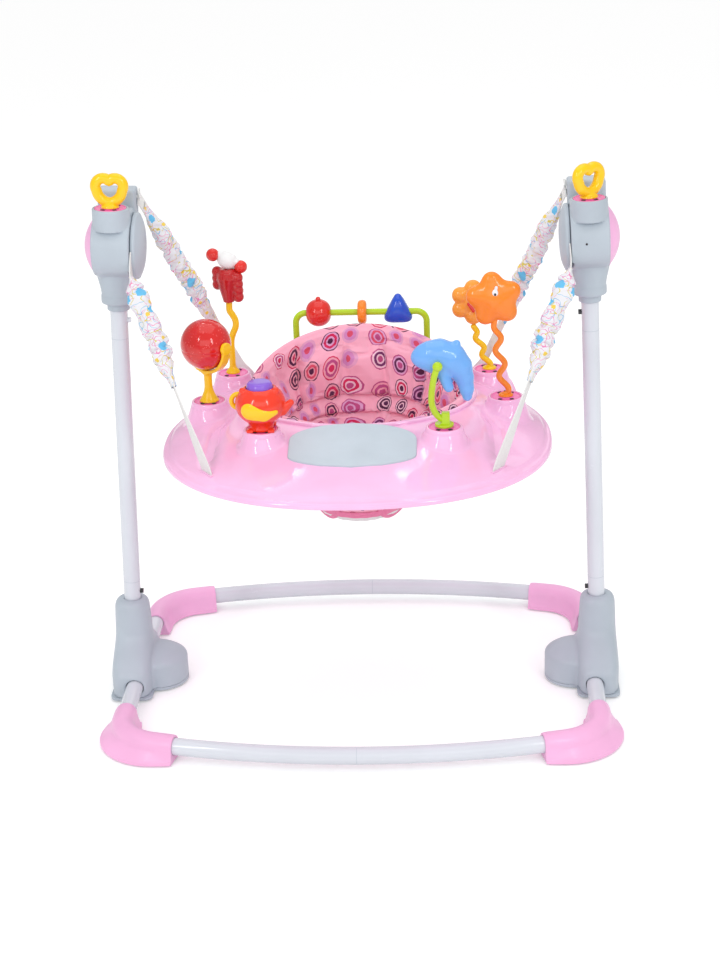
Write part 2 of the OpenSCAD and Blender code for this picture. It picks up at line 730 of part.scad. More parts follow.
module strap_pins() {
    pin_r = 2.5;
    head_r = 4;
    pin_play = 0.5;
    web_gap = dish_gap / 2 - web_t / 2 - gap / 2;
    color(c_white) for (side = [-1, 1]) on_post(side) {
        translate([0, front_pin.y, front_pin.z]) along_x(-drum_half_w - web_gap, -drum_half_w, pin_r);
        translate([0, front_pin.y, front_pin.z])
            along_x(-drum_half_w - dish_gap, -drum_half_w - dish_gap + web_gap, pin_r);
        translate([0, rear_pin.y, rear_pin.z]) along_x(-drum_half_w - web_gap, -drum_half_w, pin_r);
        translate([0, rear_pin.y, rear_pin.z])
            along_x(-drum_half_w - dish_gap - 1, -drum_half_w - dish_gap + web_gap - pin_play, head_r);
    }
}

// Ruffled sleeve round the upper part of a strap: an oval that draws in at its ends
sleeve_from = 0.05;
module strap_sleeve(side, a, b, cover) {
    dir = unit(b - a);
    flat = strap_flat(a, b);
    rings = 27;
    sides = 12;
    bore_w = web_w / 2 + 1.2;
    bore_n = spring_r + 0.5;
    function swell(t) = min(1, 0.5 + 4 * t, 0.5 + 4 * (1 - t));
    function wave(t) = ruffle * (1 + sin(360 * ruffles * t)) / 2;
    function at(t) = lerp(a, b, lerp(sleeve_from, cover, t));
    function thick(t) = max(bore_n + sleeve_wall, sleeve_r * swell(t)) + wave(t);
    outer = [for (i = [0 : rings - 1]) let(t = i / (rings - 1))
        ring_pts(at(t), dir, flat, bore_w + sleeve_wall + wave(t), thick(t), sides)];
    inner = [for (t = [1, 0]) ring_pts(at(t), dir, flat, bore_w, bore_n, sides)];
    color(c_white) on_side(side) skin(concat(outer, inner), true);
}

// Flat ribbon through the points p, with its width along each of the directions w
module ribbon(p, w) {
    skin([for (i = [0 : len(p) - 1]) let(d = unit(p[min(i + 1, len(p) - 1)] - p[max(i - 1, 0)]),
        u = unit(w[i] - d * (w[i] * d)), n = cross(d, u))
        [p[i] + u * web_w / 2 + n * web_t / 2, p[i] - u * web_w / 2 + n * web_t / 2,
         p[i] - u * web_w / 2 - n * web_t / 2, p[i] + u * web_w / 2 - n * web_t / 2]]);
}

// Both stretches of webbing of one strap: head to spring, and spring to tray, where it turns from lying
// flat against the head to lying along the slot; turned is the part of the stretch that the turn takes
web_steps = 24;
module webbing(side, pin, top, end, cover, turned) {
    up = on_post_pt(pin);
    flat = strap_flat(top, end);
    twist = slot_dir(end) * sign(slot_dir(end) * flat);
    spring_top = lerp(top, end, spring_from);
    low = lerp(top, end, cover - spring_short);
    out = lerp(top, end, cover + spring_short);
    in_slit = end - [0, 0, web_in_slit];
    color(c_white) on_side(side) {
        ribbon([up, top, spring_top], [flat, flat, flat]);
        ribbon(concat([low], [for (i = [0 : web_steps]) lerp(out, end, i / web_steps)], [in_slit]),
            concat([flat], [for (i = [0 : web_steps]) lerp(flat, twist, min(1, i / web_steps / turned))],
                [twist]));
    }
}
module webbing_front() {
    for (side = [-1, 1]) webbing(side, front_pin, front_top, front_end, cover_front, 0.8);
}
module webbing_rear() {
    for (side = [-1, 1]) webbing(side, rear_pin, rear_top, rear_end, cover_rear, 0.6);
}

module bounce_spring(side, a, b, cover) {
    p = lerp(a, b, spring_from);
    q = lerp(a, b, cover - spring_short);
    d = q - p;
    color(c_tube) on_side(side) translate(p) rotate([0, acos(d.z / norm(d)), atan2(d.y, d.x)])
        translate([0, 0, gap]) cylinder(r = spring_r, h = norm(d) - 2 * gap);
}
module bounce_springs() {
    for (side = [-1, 1]) {
        bounce_spring(side, front_top, front_end, cover_front);
        bounce_spring(side, rear_top, rear_end, cover_rear);
    }
}

// Section of the tray at the angle a: over the top from the opening to the rim, and back underneath
function tray_at(a, s, dz) = let(p = lerp(hole_pt(a, 0), rim_pt(a, 0), s)) [p.x, p.y, tray_z(p.x, p.y) + dz];
tray_cols = [0, 0.05, 0.16, 0.3, 0.46, 0.62, 0.78, 0.9, 0.97, 1];
function tray_section(a) = concat(
    [tray_at(a, 0, -tray_t - 16)],
    [for (s = tray_cols) tray_at(a, s, 0)],
    [tray_at(a, 1, -rim_h), tray_at(a, 0.98, -rim_h)],
    [for (s = [0.965, 0.9, 0.78, 0.62, 0.46, 0.3, 0.16, 0.035]) tray_at(a, s, -tray_t)],
    [tray_at(a, 0.035, -tray_t - 16)]);

module at_cups(z) {
    for (side = [-1, 1], c = cups) translate([side * c.x, c.y, z]) children();
}

module anchor_at(p, side) {
    on_side(side) translate(p) rotate([0, 0, slot_turn(p)]) children();
}
slot_l = web_w + 9;
slot_w = 9;

module tray_shell() {
    color(c_pink) difference() {
        union() {
            skin([for (i = [0 : tray_steps - 1]) tray_section(360 * i / tray_steps)], true);
            for (side = [-1, 1], c = cups) let(z0 = tray_z(c.x, c.y) - 13)
                translate([side * c.x, c.y, z0]) cylinder(r1 = cup_foot_r, r2 = cup_r, h = cup_z - 1 - z0);
        }
        at_cups(cup_z - socket_t) cylinder(r = socket_r + fit, h = 20);
        at_cups(tray_top - 60) cylinder(r = socket_r - 3, h = 80);
        for (side = [-1, 1], p = [front_end, rear_end]) anchor_at(p, side)
            cube([slot_l, slot_w, 60], center = true);
    }
}

module toy_sockets() {
    color(c_hot) at_cups(cup_z - socket_t) difference() {
        cylinder(r = socket_r, h = socket_t);
        translate([0, 0, -1]) cylinder(r = plug_r, h = socket_t + 2);
    }
}

module strap_anchors() {
    plug_t = slot_w - 2 * gap;
    lip = 2;
    slit_w = 5.8;
    slit_play = 1.6;
    color(c_pink) for (side = [-1, 1], p = [front_end, rear_end]) anchor_at(p, side)
        translate([0, 0, -1]) difference() {
            union() {
                translate([-slot_l / 2 + gap, -plug_t / 2, -14]) cube([slot_l - 2 * gap, plug_t, 14]);
                translate([-slot_l / 2 - lip, -slot_w / 2 - lip, -17])
                    cube([slot_l + 2 * lip, slot_w + 2 * lip, 4]);
            }
            translate([-web_w / 2 - slit_play, -slit_w / 2, -9]) cube([web_w + 2 * slit_play, slit_w, 20]);
        }
}

// Insert on the front of the tray, with a bowed front edge and an arched, raised rear edge
insert_cols = 14;
insert_rows = 6;
function insert_pt(u, v, top) = let(x = insert_half_w * u,
    y = lerp(-insert_rear - 38 * u * u, -insert_front + 28 * u * u, v))
    [x, y, tray_z(x, y) + (top ? insert_t + insert_rise * pow(1 - v, 2) : 0.6)];
module front_insert() {
    color(c_grey) skin([for (i = [0 : insert_cols]) let(u = lerp(-1, 1, i / insert_cols))
        concat([for (j = [0 : insert_rows]) insert_pt(u, j / insert_rows, true)],
            [for (j = [insert_rows : -1 : 0]) insert_pt(u, j / insert_rows, false)])]);
}

// Ring that lines the seat opening and carries the pad
module seat_rim_ring() {
    function pt(a, inset, z) = [hole_pt(a, inset).x, hole_pt(a, inset).y, z];
    out = -3.5;
    color(c_pink) skin([for (i = [0 : tray_steps - 1]) let(a = 360 * i / tray_steps)
        [pt(a, rim_ring_t, tray_top - rim_ring_h), pt(a, rim_ring_t, tray_top + 2),
         pt(a, rim_ring_t - 2, tray_top + 4), pt(a, out, tray_top + 3), pt(a, out, tray_top + gap),
         pt(a, gap, tray_top + gap), pt(a, gap, tray_top - rim_ring_h)]], true);
}

// Padded bucket seat: sides, a raised back, a floor and two leg holes
pad_inset = rim_ring_t + 0.5;
function pad_top(a) = pad_side_z + pad_back_rise * pow(max(0, sin(a)), 1.1) - 12 * pow(max(0, -sin(a)), 2);
function pad_pt(a, t, inset, lift) = let(g = pow(t, 1.7),
    w = lerp(hole_half_w - pad_inset, floor_half_w, g) - inset,
    d = lerp(hole_half_d - pad_inset, floor_half_d, g) - inset)
    [w * cos(a), lerp(hole_y, 40, g) + d * sin(a), lerp(pad_top(a), pad_bottom, t) + lift];
function pad_ring(t, inset, lift) =
    [for (j = [0 : seat_steps - 1]) pad_pt(360 * j / seat_steps, t, inset, lift)];

// Swelling of the inside: full in the middle of a panel, none at the upright seams and the fold half way down
pad_fold = 0.42;
function pad_puff(a, t) = pad_swell * abs(cos(pad_panels * a / 2))
    * sin(180 * (t < pad_fold ? t / pad_fold : min(1, (t - pad_fold) / pad_fold)));
function pad_puff_ring(t) = [for (j = [0 : seat_steps - 1]) let(a = 360 * j / seat_steps)
    pad_pt(a, t, pad_thick + pad_puff(a, t), 0)];

module seat_pad() {
    outer = [for (t = [1, 0.96, 0.86, 0.72, 0.56, 0.4, 0.24, 0.1, 0.02]) pad_ring(t, t > 0.97 ? 8 : 0, 0)];
    crown = [pad_ring(0, 2, 1), pad_ring(0, pad_thick / 2, 3), pad_ring(0, pad_thick - 2, 1)];
    inner = [for (t = [0.02, 0.12, 0.22, 0.34, pad_fold, 0.5, 0.62, 0.74, 0.86]) pad_puff_ring(t)];
    floor_in = [pad_ring(0.94, pad_thick + 8, 0)];
    color(c_fabric) difference() {
        skin(concat(outer, crown, inner, floor_in));
        for (side = [-1, 1]) translate([side * 50, 20, 312]) rotate([0, 0, side * 32]) rotate([112, 0, 0])
            cylinder(r = leg_r, h = 200);
    }
}

// Foot of a toy, plugged into its socket
module toy_foot(c, r, h) {
    translate([c.x, c.y, cup_z - socket_t]) cylinder(r = plug_r - fit, h = socket_t + 1);
    translate([c.x, c.y, cup_z]) cylinder(r1 = r, r2 = r * 0.55, h = h);
}
function left(c) = [-c.x, c.y];
function at_cup(c, z) = [c.x, c.y, cup_z + z];

pot_foot_h = 12;
pot_core_r = 12;
pot_button_z = cup_z + pot_foot_h + pot_h * 0.9;
pot_button_seat = 6;
module pot_profile() {
    polygon(concat([[0, pot_foot_h - 4]],
        [for (a = [-60 : 15 : 60])
            [pot_core_r + (pot_r - pot_core_r) * cos(a), pot_foot_h + pot_h / 2 * (1 + sin(a))]],
        [[0, pot_foot_h + pot_h]]));
}

module teapot_body() {
    c = left(cups[0]);
    spout_r = 8;
    handle_r = 12;
    handle_rod_r = 3.5;
    handle_out = 2;
    color(c_red) difference() {
        union() {
            toy_foot(c, 17, pot_foot_h);
            translate([c.x, c.y, cup_z]) cylinder(r = 16, h = pot_foot_h + 6);
            translate([c.x, c.y, cup_z]) rotate_extrude() pot_profile();
            for (i = [0 : 4]) translate([c.x + pot_r - 4 + 4.5 * i, c.y - 4, cup_z + 22 + 5 * i])
                sphere(r = spout_r - i * 0.7);
            translate([c.x - pot_r - handle_out, c.y - 2, cup_z + pot_foot_h + pot_h / 2]) rotate([90, 0, 0])
                rotate_extrude() translate([handle_r, 0]) circle(r = handle_rod_r);
        }
        translate([c.x, c.y, pot_button_z - pot_button_travel - gap - pot_button_seat])
            cylinder(r = pot_button_r + gap, h = pot_h);
    }
}

module teapot_button() {
    c = left(cups[0]);
    color("#7E57C2") translate([c.x, c.y, pot_button_z - pot_button_seat]) {
        cylinder(r = pot_button_r, h = 14);
        translate([0, 0, 14]) cylinder(r1 = pot_button_r, r2 = pot_button_r - 4, h = 3);
    }
}

fork_turn = -38;
fork_w = 14;
fork_t = 5;
axle_r = 4;

module ball_stand() {
    c = left(cups[1]);
    fork_in = ball_r + 1.2;
    color(c_yellow) {
        toy_foot(c, 17, 14);
        translate(at_cup(c, 6)) cylinder(r1 = 11, r2 = 8, h = ball_up - fork_in - 8);
        translate(at_cup(c, ball_up)) rotate([0, 0, fork_turn]) {
            rotate([90, 0, 0]) rotate([0, 0, 180]) rotate_extrude(angle = 180)
                translate([fork_in, -fork_w / 2]) square([fork_t, fork_w]);
            for (end = [-1, 1]) translate([end * (fork_in + fork_t / 2), 0, 0]) {
                rotate([0, 90, 0]) cylinder(r = fork_w / 2, h = fork_t, center = true);
                translate([-end * (fork_t / 2 + 4), 0, 0]) rotate([0, 90, 0])
                    cylinder(r = axle_r, h = 12, center = true);
            }
        }
    }
}

module ball() {
    c = left(cups[1]);
    groove = 0.8;
    color(c_red) translate(at_cup(c, ball_up)) rotate([0, 0, fork_turn]) difference() {
        sphere(r = ball_r, $fn = 96);
        sphere(r = ball_r - 3, $fn = 96);
        for (end = [-1, 1]) translate([end * ball_r, 0, 0]) rotate([0, 90, 0])
            cylinder(r = axle_r + fit, h = 30, center = true);
        rotate_extrude() translate([ball_r - groove, -groove / 2]) square([3, groove]);
    }
}

// Stem of the crab, with a kink near its top and a pin that the crab turns on
crab_axle_r = 4;
crab_axle_l = 14;
module crab_stem() {
    c = left(cups[2]);
    rod_r = 5;
    kink = [[0, 0, 4], [0, 0, 50], [3, 0, 62], [8, 0, 74], [8, 0, 84], [4, 0, 93], [0, 0, 100],
        [0, 0, crab_stem_h - 2]];
    color(c_yellow) {
        toy_foot(c, 17, 12);
        rod_along([for (p = kink) at_cup(c, 0) + p], rod_r, [0, 1, 0]);
        translate(at_cup(c, crab_stem_h - 10)) cylinder(r = crab_axle_r, h = 10 + crab_axle_l - 2);
    }
}

// Crab: a tapered body, a tilted crown between two ball eyes, and ridged claws
module crab() {
    c = left(cups[2]);
    tilt = 25;
    eye_r = 10;
    eye_x = 23;
    crown_z = 66;
    ridge_r = 8.5;
    body = [[0, 0], [8.5, 0], [9.5, 5], [14, 22], [17, 38], [15, 48], [0, 52]];
    color(c_red) translate(at_cup(c, crab_stem_h)) difference() {
        union() {
            rotate_extrude() polygon(body);
            for (i = [0 : 3]) translate([18 + i % 2, -5, 10 + 11 * i]) sphere(r = ridge_r);
            for (i = [0 : 2]) translate([-18 - i % 2, 4, 28 + 11 * i]) sphere(r = ridge_r);
            translate([2, 0, crown_z]) rotate([0, tilt, 0]) {
                translate([0, 0, -4]) along_x(-eye_x, eye_x, eye_r);
                for (s = [-1, 1]) translate([s * eye_x, 0, 0]) sphere(r = eye_r);
                translate([0, 0, -22]) cylinder(r1 = 13, r2 = 12, h = 16);
            }
        }
        translate([0, 0, -1]) cylinder(r = crab_axle_r + fit, h = crab_axle_l);
    }
}

module arch_rod() {
    straight = arch_half_w - arch_bend;
    color(c_lime) {
        for (side = [-1, 1]) {
            toy_foot([side * arch_half_w, arch_y], 14, 8);
            translate([side * arch_half_w, arch_y, cup_z])
                cylinder(r = arch_rod_r, h = arch_z - arch_bend - cup_z);
            on_side(side) translate([straight, arch_y, arch_z - arch_bend]) rotate([90, 0, 0])
                rotate_extrude(angle = 90) translate([arch_bend, 0]) circle(r = arch_rod_r);
        }
        translate([0, arch_y, arch_z]) along_x(-straight, straight, arch_rod_r);
    }
}

// Body of a bead turned about the arch's bar: half lengths and radii of its outline
module bead(x, outline, tint) {
    color(tint) translate([x, arch_y, arch_z]) rotate([0, 90, 0]) difference() {
        rotate_extrude() polygon(outline);
        cylinder(r = arch_rod_r + gap, h = 200, center = true);
    }
}
function oval(half_l, r, n) = concat([[0, -half_l]],
    [for (i = [0 : n]) let(a = -80 + 160 * i / n) [r * cos(a), half_l * sin(a)]], [[0, half_l]]);

module bead_round() {
    bead(bead_round_x, oval(17, 21.5, 14), c_red);
}
module bead_ring() {
    bead(bead_ring_x, [[0, -6], [15, -6], [18, -3], [18, 3], [15, 6], [0, 6]], c_orange);
}
module bead_fin() {
    fin_t = 8;
    bead(bead_fin_x, oval(20, 19, 14), "#2A52D0");
    color("#2A52D0") translate([bead_fin_x, arch_y + fin_t / 2, arch_z + 14]) rotate([90, 0, 0])
        linear_extrude(fin_t) polygon([[-15, 0], [-3, 18], [3, 18], [13, 0]]);
}

// Curved post in front of the dolphin, with a ball end and the pin that the dolphin swings on
dolphin_pin = [-8, -17];
dolphin_back = 9;
dolphin_at = at_cup(cups[0], dolphin_up) + [dolphin_pin.x, dolphin_back, 0];
dolphin_axle_l = dolphin_back - dolphin_pin.y + 5;
post_ball_r = 7;
module dolphin_post() {
    c = cups[0];
    rod_r = 4.7;
    bow_x = -17;
    bow = [[0, 0, 10], [-6, -1, 13], [-13, -3, 22], [bow_x, -6, 36], [bow_x, -10, 52], [bow_x + 2, -14, 68],
        [bow_x + 5, -16.5, 82], [dolphin_pin.x, dolphin_pin.y, dolphin_up]];
    color(c_lime) {
        toy_foot(c, 15, 7);
        translate(at_cup(c, 4)) cylinder(r = 7, h = 18);
        rod_along([for (p = bow) at_cup(c, 0) + p], rod_r, [0, 1, 0]);
        translate(at_cup(c, dolphin_up) + [dolphin_pin.x, dolphin_pin.y, 0]) {
            sphere(r = post_ball_r);
            rotate([-90, 0, 0]) cylinder(r = axle_r, h = dolphin_axle_l);
        }
    }
}

// Dolphin: a body that swells and tapers along an arched spine, with a back fin, a side fin and a tail.
// Each stop of the spine: [x, z, radius], from the nose to the tail
spine = [[-28, 9, 3], [-24, 10, 10], [-14, 11, 17.5], [2, 10, 23.5], [18, 3, 23], [30, -9, 18], [37, -25, 12],
    [40, -41, 9], [40, -52, 7.5]];
module dolphin() {
    n = len(spine);
    sides = 16;
    flat = 0.8;
    function at(i) = [spine[i][0], 0, spine[i][1]];
    color(c_blue) translate(dolphin_at) difference() {
        union() {
            skin([for (i = [0 : n - 1]) let(d = unit(at(min(i + 1, n - 1)) - at(max(i - 1, 0))))
                ring_pts(at(i), d, [0, 1, 0], spine[i][2] * flat, spine[i][2], sides)]);
            translate([25, 0, 21]) sphere(r = 9.5);
            translate([3, 0, -17]) rotate([0, 48, 0]) hull() {
                sphere(r = 8, $fn = 24);
                translate([0, 0, -17]) sphere(r = 7, $fn = 24);
            }
        }
        translate([0, dolphin_pin.y - dolphin_back, 0]) rotate([-90, 0, 0])
            cylinder(r = axle_r + fit, h = dolphin_axle_l + gap);
    }
}

// Wavy post over a cup, up to the height h: the wave's swing, which dies out below the toy, and its lean
function wave_pts(c, h, swing, lean, turns) = [for (i = [0 : 8 * turns]) let(t = i / (8 * turns))
    at_cup(c, 4 + (h - 4) * t) + [swing * sin(360 * turns * t) * min(1, 5 * (1 - t)) - lean * t, 0, 0]];

star_lean = 16;
flower_lean = 24;
star_core_r = 27;
star_notch = 3;
flower_room = 3;
petal_r = 13;
toy_pin_r = axle_r - 0.5;
toy_pin_l = 14;
star_foot = star_up - star_core_r - star_notch;
flower_foot = flower_up - petal_at - petal_r - flower_room;
module wavy_posts() {
    c = cups[1];
    f = cups[2];
    color(c_orange) {
        toy_foot(c, 15, 6);
        rod_along(wave_pts(c, star_foot, 7, star_lean, 2), wave_rod_r, [0, 1, 0]);
        translate(at_cup(c, star_foot - 6) + [-star_lean, 0, 0]) cylinder(r = toy_pin_r, h = toy_pin_l + 6);
        toy_foot(f, 15, 6);
        rod_along(wave_pts(f, flower_foot, 4, flower_lean, 2.5), wave_rod_r, [0, 1, 0]);
        translate(at_cup(f, flower_foot - 6) + [-flower_lean, 0, 0])
            cylinder(r = toy_pin_r, h = toy_pin_l + 6);
    }
}

module star() {
    points = 5;
    end_r = 11;
    thick = 26;
    color(c_orange) difference() {
        translate(at_cup(cups[1], star_up) + [-star_lean, thick / 2, 0]) rotate([90, 0, 0])
            linear_extrude(thick) {
            circle(r = star_core_r);
            for (i = [0 : points - 1]) rotate(18 + 360 / points * i) {
                translate([star_arm, 0]) circle(r = end_r);
                polygon([[0, -25], [star_arm, -end_r], [star_arm, end_r], [0, 25]]);
            }
        }
        translate(at_cup(cups[1], star_foot) + [-star_lean, 0, 0])
            cylinder(r = toy_pin_r + fit, h = toy_pin_l + gap);
    }
}

module flower() {
    petals = 6;
    thick = 20;
    color(c_yellow) difference() {
        translate(at_cup(cups[2], flower_up) + [-flower_lean, thick / 2, 0]) rotate([90, 0, 0])
            linear_extrude(thick) {
                circle(r = petal_at);
                for (i = [0 : petals - 1]) rotate(30 + 360 / petals * i)
                    translate([petal_at, 0]) circle(r = petal_r);
        }
        translate(at_cup(cups[2], flower_foot) + [-flower_lean, 0, 0])
            cylinder(r = toy_pin_r + fit, h = toy_pin_l + gap);
    }
}

base_bar(-1, -1);  // base_bar_front_left
base_bar(1, -1);  // base_bar_front_right
base_bar(-1, 1);  // base_bar_rear_left
base_bar(1, 1);  // base_bar_rear_right
base_side_tubes();
base_joint_sleeves();
corner_boot(-1, -1);  // corner_boot_front_left
corner_boot(1, -1);  // corner_boot_front_right
corner_boot(-1, 1);  // corner_boot_rear_left
corner_boot(1, 1);  // corner_boot_rear_right
foot_housing(-1);  // foot_housing_left
foot_housing(1);  // foot_housing_right
foot_base_plates();
rubber_pads();
post_stubs();
post_tube(-1);  // post_tube_left
post_tube(1);  // post_tube_right
snap_button(-1, button_low);  // snap_button_lower_left
snap_button(1, button_low);  // snap_button_lower_right
snap_button(-1, button_high);  // snap_button_upper_left
snap_button(1, button_high);  // snap_button_upper_right
head_half(-1, true);  // head_outer_shell_left
head_half(1, true);  // head_outer_shell_right
head_half(-1, false);  // head_inner_shell_left
head_half(1, false);  // head_inner_shell_right
head_caps();
head_dishes();
head_sockets();
head_screws();
strap_pins();
heart(-1, 0);  // heart_left
heart(1, heart_turn_right);  // heart_right
strap_sleeve(-1, front_top, front_end, cover_front);  // strap_sleeve_front_left
strap_sleeve(1, front_top, front_end, cover_front);  // strap_sleeve_front_right
strap_sleeve(-1, rear_top, rear_end, cover_rear);  // strap_sleeve_rear_left
strap_sleeve(1, rear_top, rear_end, cover_rear);  // strap_sleeve_rear_right
webbing_front();
webbing_rear();
bounce_springs();
tray_shell();
toy_sockets();
front_insert();
seat_rim_ring();
seat_pad();
strap_anchors();
teapot_body();
teapot_button();
ball_stand();
ball();
crab_stem();
crab();
arch_rod();
bead_round();
bead_ring();
bead_fin();
dolphin_post();
dolphin();
wavy_posts();
star();
flower();
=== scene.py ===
"""Looks of a free-standing baby jumper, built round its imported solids.

Lengths are in millimetres, as on the part's drawing, and become metres when a mesh is made. +X points to the
right, +Y to the back and +Z up. The origin is on the floor in the middle of the stand.
"""

from __future__ import annotations

import json
import logging
import math
from dataclasses import dataclass
from enum import Enum
from typing import Callable

import bmesh
import bpy
import numpy as np
from mathutils import Matrix

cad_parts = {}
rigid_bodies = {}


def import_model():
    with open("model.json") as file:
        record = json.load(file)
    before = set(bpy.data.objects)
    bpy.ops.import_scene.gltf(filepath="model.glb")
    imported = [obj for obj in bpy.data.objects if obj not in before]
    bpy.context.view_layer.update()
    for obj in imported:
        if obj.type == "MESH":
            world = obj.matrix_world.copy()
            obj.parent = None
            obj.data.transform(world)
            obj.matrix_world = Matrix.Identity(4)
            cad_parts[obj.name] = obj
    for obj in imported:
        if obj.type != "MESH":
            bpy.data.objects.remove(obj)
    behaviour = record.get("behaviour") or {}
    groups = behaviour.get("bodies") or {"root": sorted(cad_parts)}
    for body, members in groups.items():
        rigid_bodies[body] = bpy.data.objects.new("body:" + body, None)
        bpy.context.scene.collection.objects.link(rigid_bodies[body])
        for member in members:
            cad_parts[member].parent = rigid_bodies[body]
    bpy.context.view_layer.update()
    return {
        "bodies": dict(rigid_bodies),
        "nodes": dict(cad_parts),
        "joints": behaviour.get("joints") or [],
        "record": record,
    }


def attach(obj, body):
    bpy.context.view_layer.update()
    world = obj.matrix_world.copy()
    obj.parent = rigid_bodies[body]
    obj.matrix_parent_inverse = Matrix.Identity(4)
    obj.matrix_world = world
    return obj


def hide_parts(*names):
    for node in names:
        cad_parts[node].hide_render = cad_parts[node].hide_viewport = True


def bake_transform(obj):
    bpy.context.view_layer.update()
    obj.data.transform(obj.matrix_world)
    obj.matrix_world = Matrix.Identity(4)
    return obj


LOG = logging.getLogger("jumper")
MM = 0.001
FULL = 2 * math.pi
Array = np.ndarray
Colour = tuple[float, float, float]
Field = Callable[[Array], Array]
UP = np.array([0.0, 0.0, 1.0])
BACK = np.array([0.0, 1.0, 0.0])
SIDES = (("left", -1), ("right", 1))
BLACK: Colour = (0.0, 0.0, 0.0)
WHITE: Colour = (1.0, 1.0, 1.0)


@dataclass(frozen=True)
class Drawing:
    """Driving sizes that the pieces share, from the part's drawing."""

    tube_r: float = 12.7
    base_z: float = 23.0
    base_half_w: float = 350.0
    base_half_d: float = 284.0
    bow_r: float = 1200.0
    bend_r: float = 70.0
    post_x: float = 360.0
    lean: float = math.radians(1.85)
    head_z: float = 698.0
    tray_half_w: float = 287.0
    tray_half_d: float = 262.0
    tray_power: float = 2.2
    hole_half_w: float = 173.0
    hole_half_d: float = 135.0
    hole_y: float = 60.0
    tray_top: float = 442.0
    tray_drop: float = 44.0
    tray_fall: float = 1.4
    tray_spread: float = 1.8
    cup_z: float = 453.0
    cups: tuple = ((130.0, -105.0), (220.0, 22.0), (198.0, 150.0), (102.0, 205.0))

    def on_post(self, points: Array, side: int) -> Array:
        """Points from a post's own frame, Z up the post and X away from the middle, in the object's frame.

        Args:
            points: places in the right-hand post's frame.
            side: 1 for the right-hand post, -1 for the left-hand one.

        Returns:
            The places in the object's frame.
        """
        p = np.asarray(points, float)
        x = self.post_x + p[..., 0] * math.cos(self.lean) - p[..., 2] * math.sin(self.lean)
        z = p[..., 0] * math.sin(self.lean) + p[..., 2] * math.cos(self.lean)
        return stacked(side * x, p[..., 1], z)

    def hole(self, angle: Array, inset: float = 0.0) -> tuple[Array, Array]:
        """Plan points on the seat opening's ellipse, drawn in by inset."""
        x = (self.hole_half_w - inset) * np.cos(angle)
        return x, self.hole_y + (self.hole_half_d - inset) * np.sin(angle)

    def rim(self, angle: Array, inset: Array | float = 0.0) -> tuple[Array, Array]:
        """Plan points on the tray's rim, a superellipse, drawn in by inset."""
        c, s = np.cos(angle), np.sin(angle)
        power = 2 / self.tray_power
        x = (self.tray_half_w - inset) * np.sign(c) * np.abs(c) ** power
        return x, (self.tray_half_d - inset) * np.sign(s) * np.abs(s) ** power

    def tray_z(self, x: Array, y: Array) -> Array:
        """Height of the tray: it falls from the opening to the rim with a power of the way out."""
        hole = np.hypot(x / self.hole_half_w, (y - self.hole_y) / self.hole_half_d)
        power = self.tray_power
        rim = np.abs(x / self.tray_half_w) ** power + np.abs(y / self.tray_half_d) ** power
        inner = np.maximum(0, hole - 1)
        outer = np.maximum(0, 1 - rim ** (1 / power))
        way = inner / np.maximum(1e-4, inner + self.tray_spread * outer)
        return self.tray_top - self.tray_drop * way**self.tray_fall


PLAN = Drawing()


@dataclass
class Shape:
    """Points of a surface, its four-sided faces, where a print lies, and how firmly points are sewn."""

    points: Array
    quads: Array
    uv: Array | None = None
    sewn: Array | None = None

    def moved(self, change: Callable[[Array], Array]) -> Shape:
        """The same faces on changed points."""
        return Shape(change(self.points), self.quads, self.uv)

    def shifted(self, x: float, y: float, z: float) -> Shape:
        """The shape moved by x, y, z."""
        return self.moved(lambda p: p + np.array([x, y, z]))

    def scaled(self, x: float, y: float, z: float) -> Shape:
        """The shape stretched or mirrored by x, y, z."""
        return self.moved(lambda p: p * np.array([x, y, z]))


def joined(*shapes: Shape) -> Shape:
    """Several shapes as one."""
    starts = np.cumsum([0] + [len(s.points) for s in shapes[:-1]])
    uv = None if shapes[0].uv is None else np.concatenate([s.uv for s in shapes])
    quads = np.concatenate([s.quads + n for s, n in zip(shapes, starts)])
    return Shape(np.concatenate([s.points for s in shapes]), quads, uv)


def surface(points: Array, wrap: bool = True, loop: bool = False, uv: Array | None = None) -> Shape:
    """A grid of points as one surface.

    Args:
        points: rows by columns by three.
        wrap: join the last column to the first.
        loop: join the last row to the first.
        uv: rows by columns by two.

    Returns:
        The surface.
    """
    rows, cols = points.shape[:2]
    i = np.arange(rows if loop else rows - 1)[:, None]
    j = np.arange(cols if wrap else cols - 1)[None, :]
    below, beside = (i + 1) % rows, (j + 1) % cols
    quads = stacked(i * cols + j, i * cols + beside, below * cols + beside, below * cols + j)
    flat_uv = None if uv is None else uv.reshape(-1, 2)
    return Shape(points.reshape(-1, 3), quads.reshape(-1, 4), flat_uv)


def unit(v: Array) -> Array:
    """Vectors at length 1."""
    return v / np.maximum(np.linalg.norm(v, axis=-1, keepdims=True), 1e-12)


def stacked(*parts: Array) -> Array:
    """Coordinates side by side, along a new last axis."""
    return np.stack(parts, axis=-1)


def turn_of(count: int) -> Array:
    """Angles spread evenly over a full turn."""
    return FULL * np.arange(count) / count


def eased(t: Array) -> Array:
    """A soft step from 0 to 1: the cubic that starts and ends level."""
    t = np.clip(t, 0, 1)
    return t * t * (3 - 2 * t)


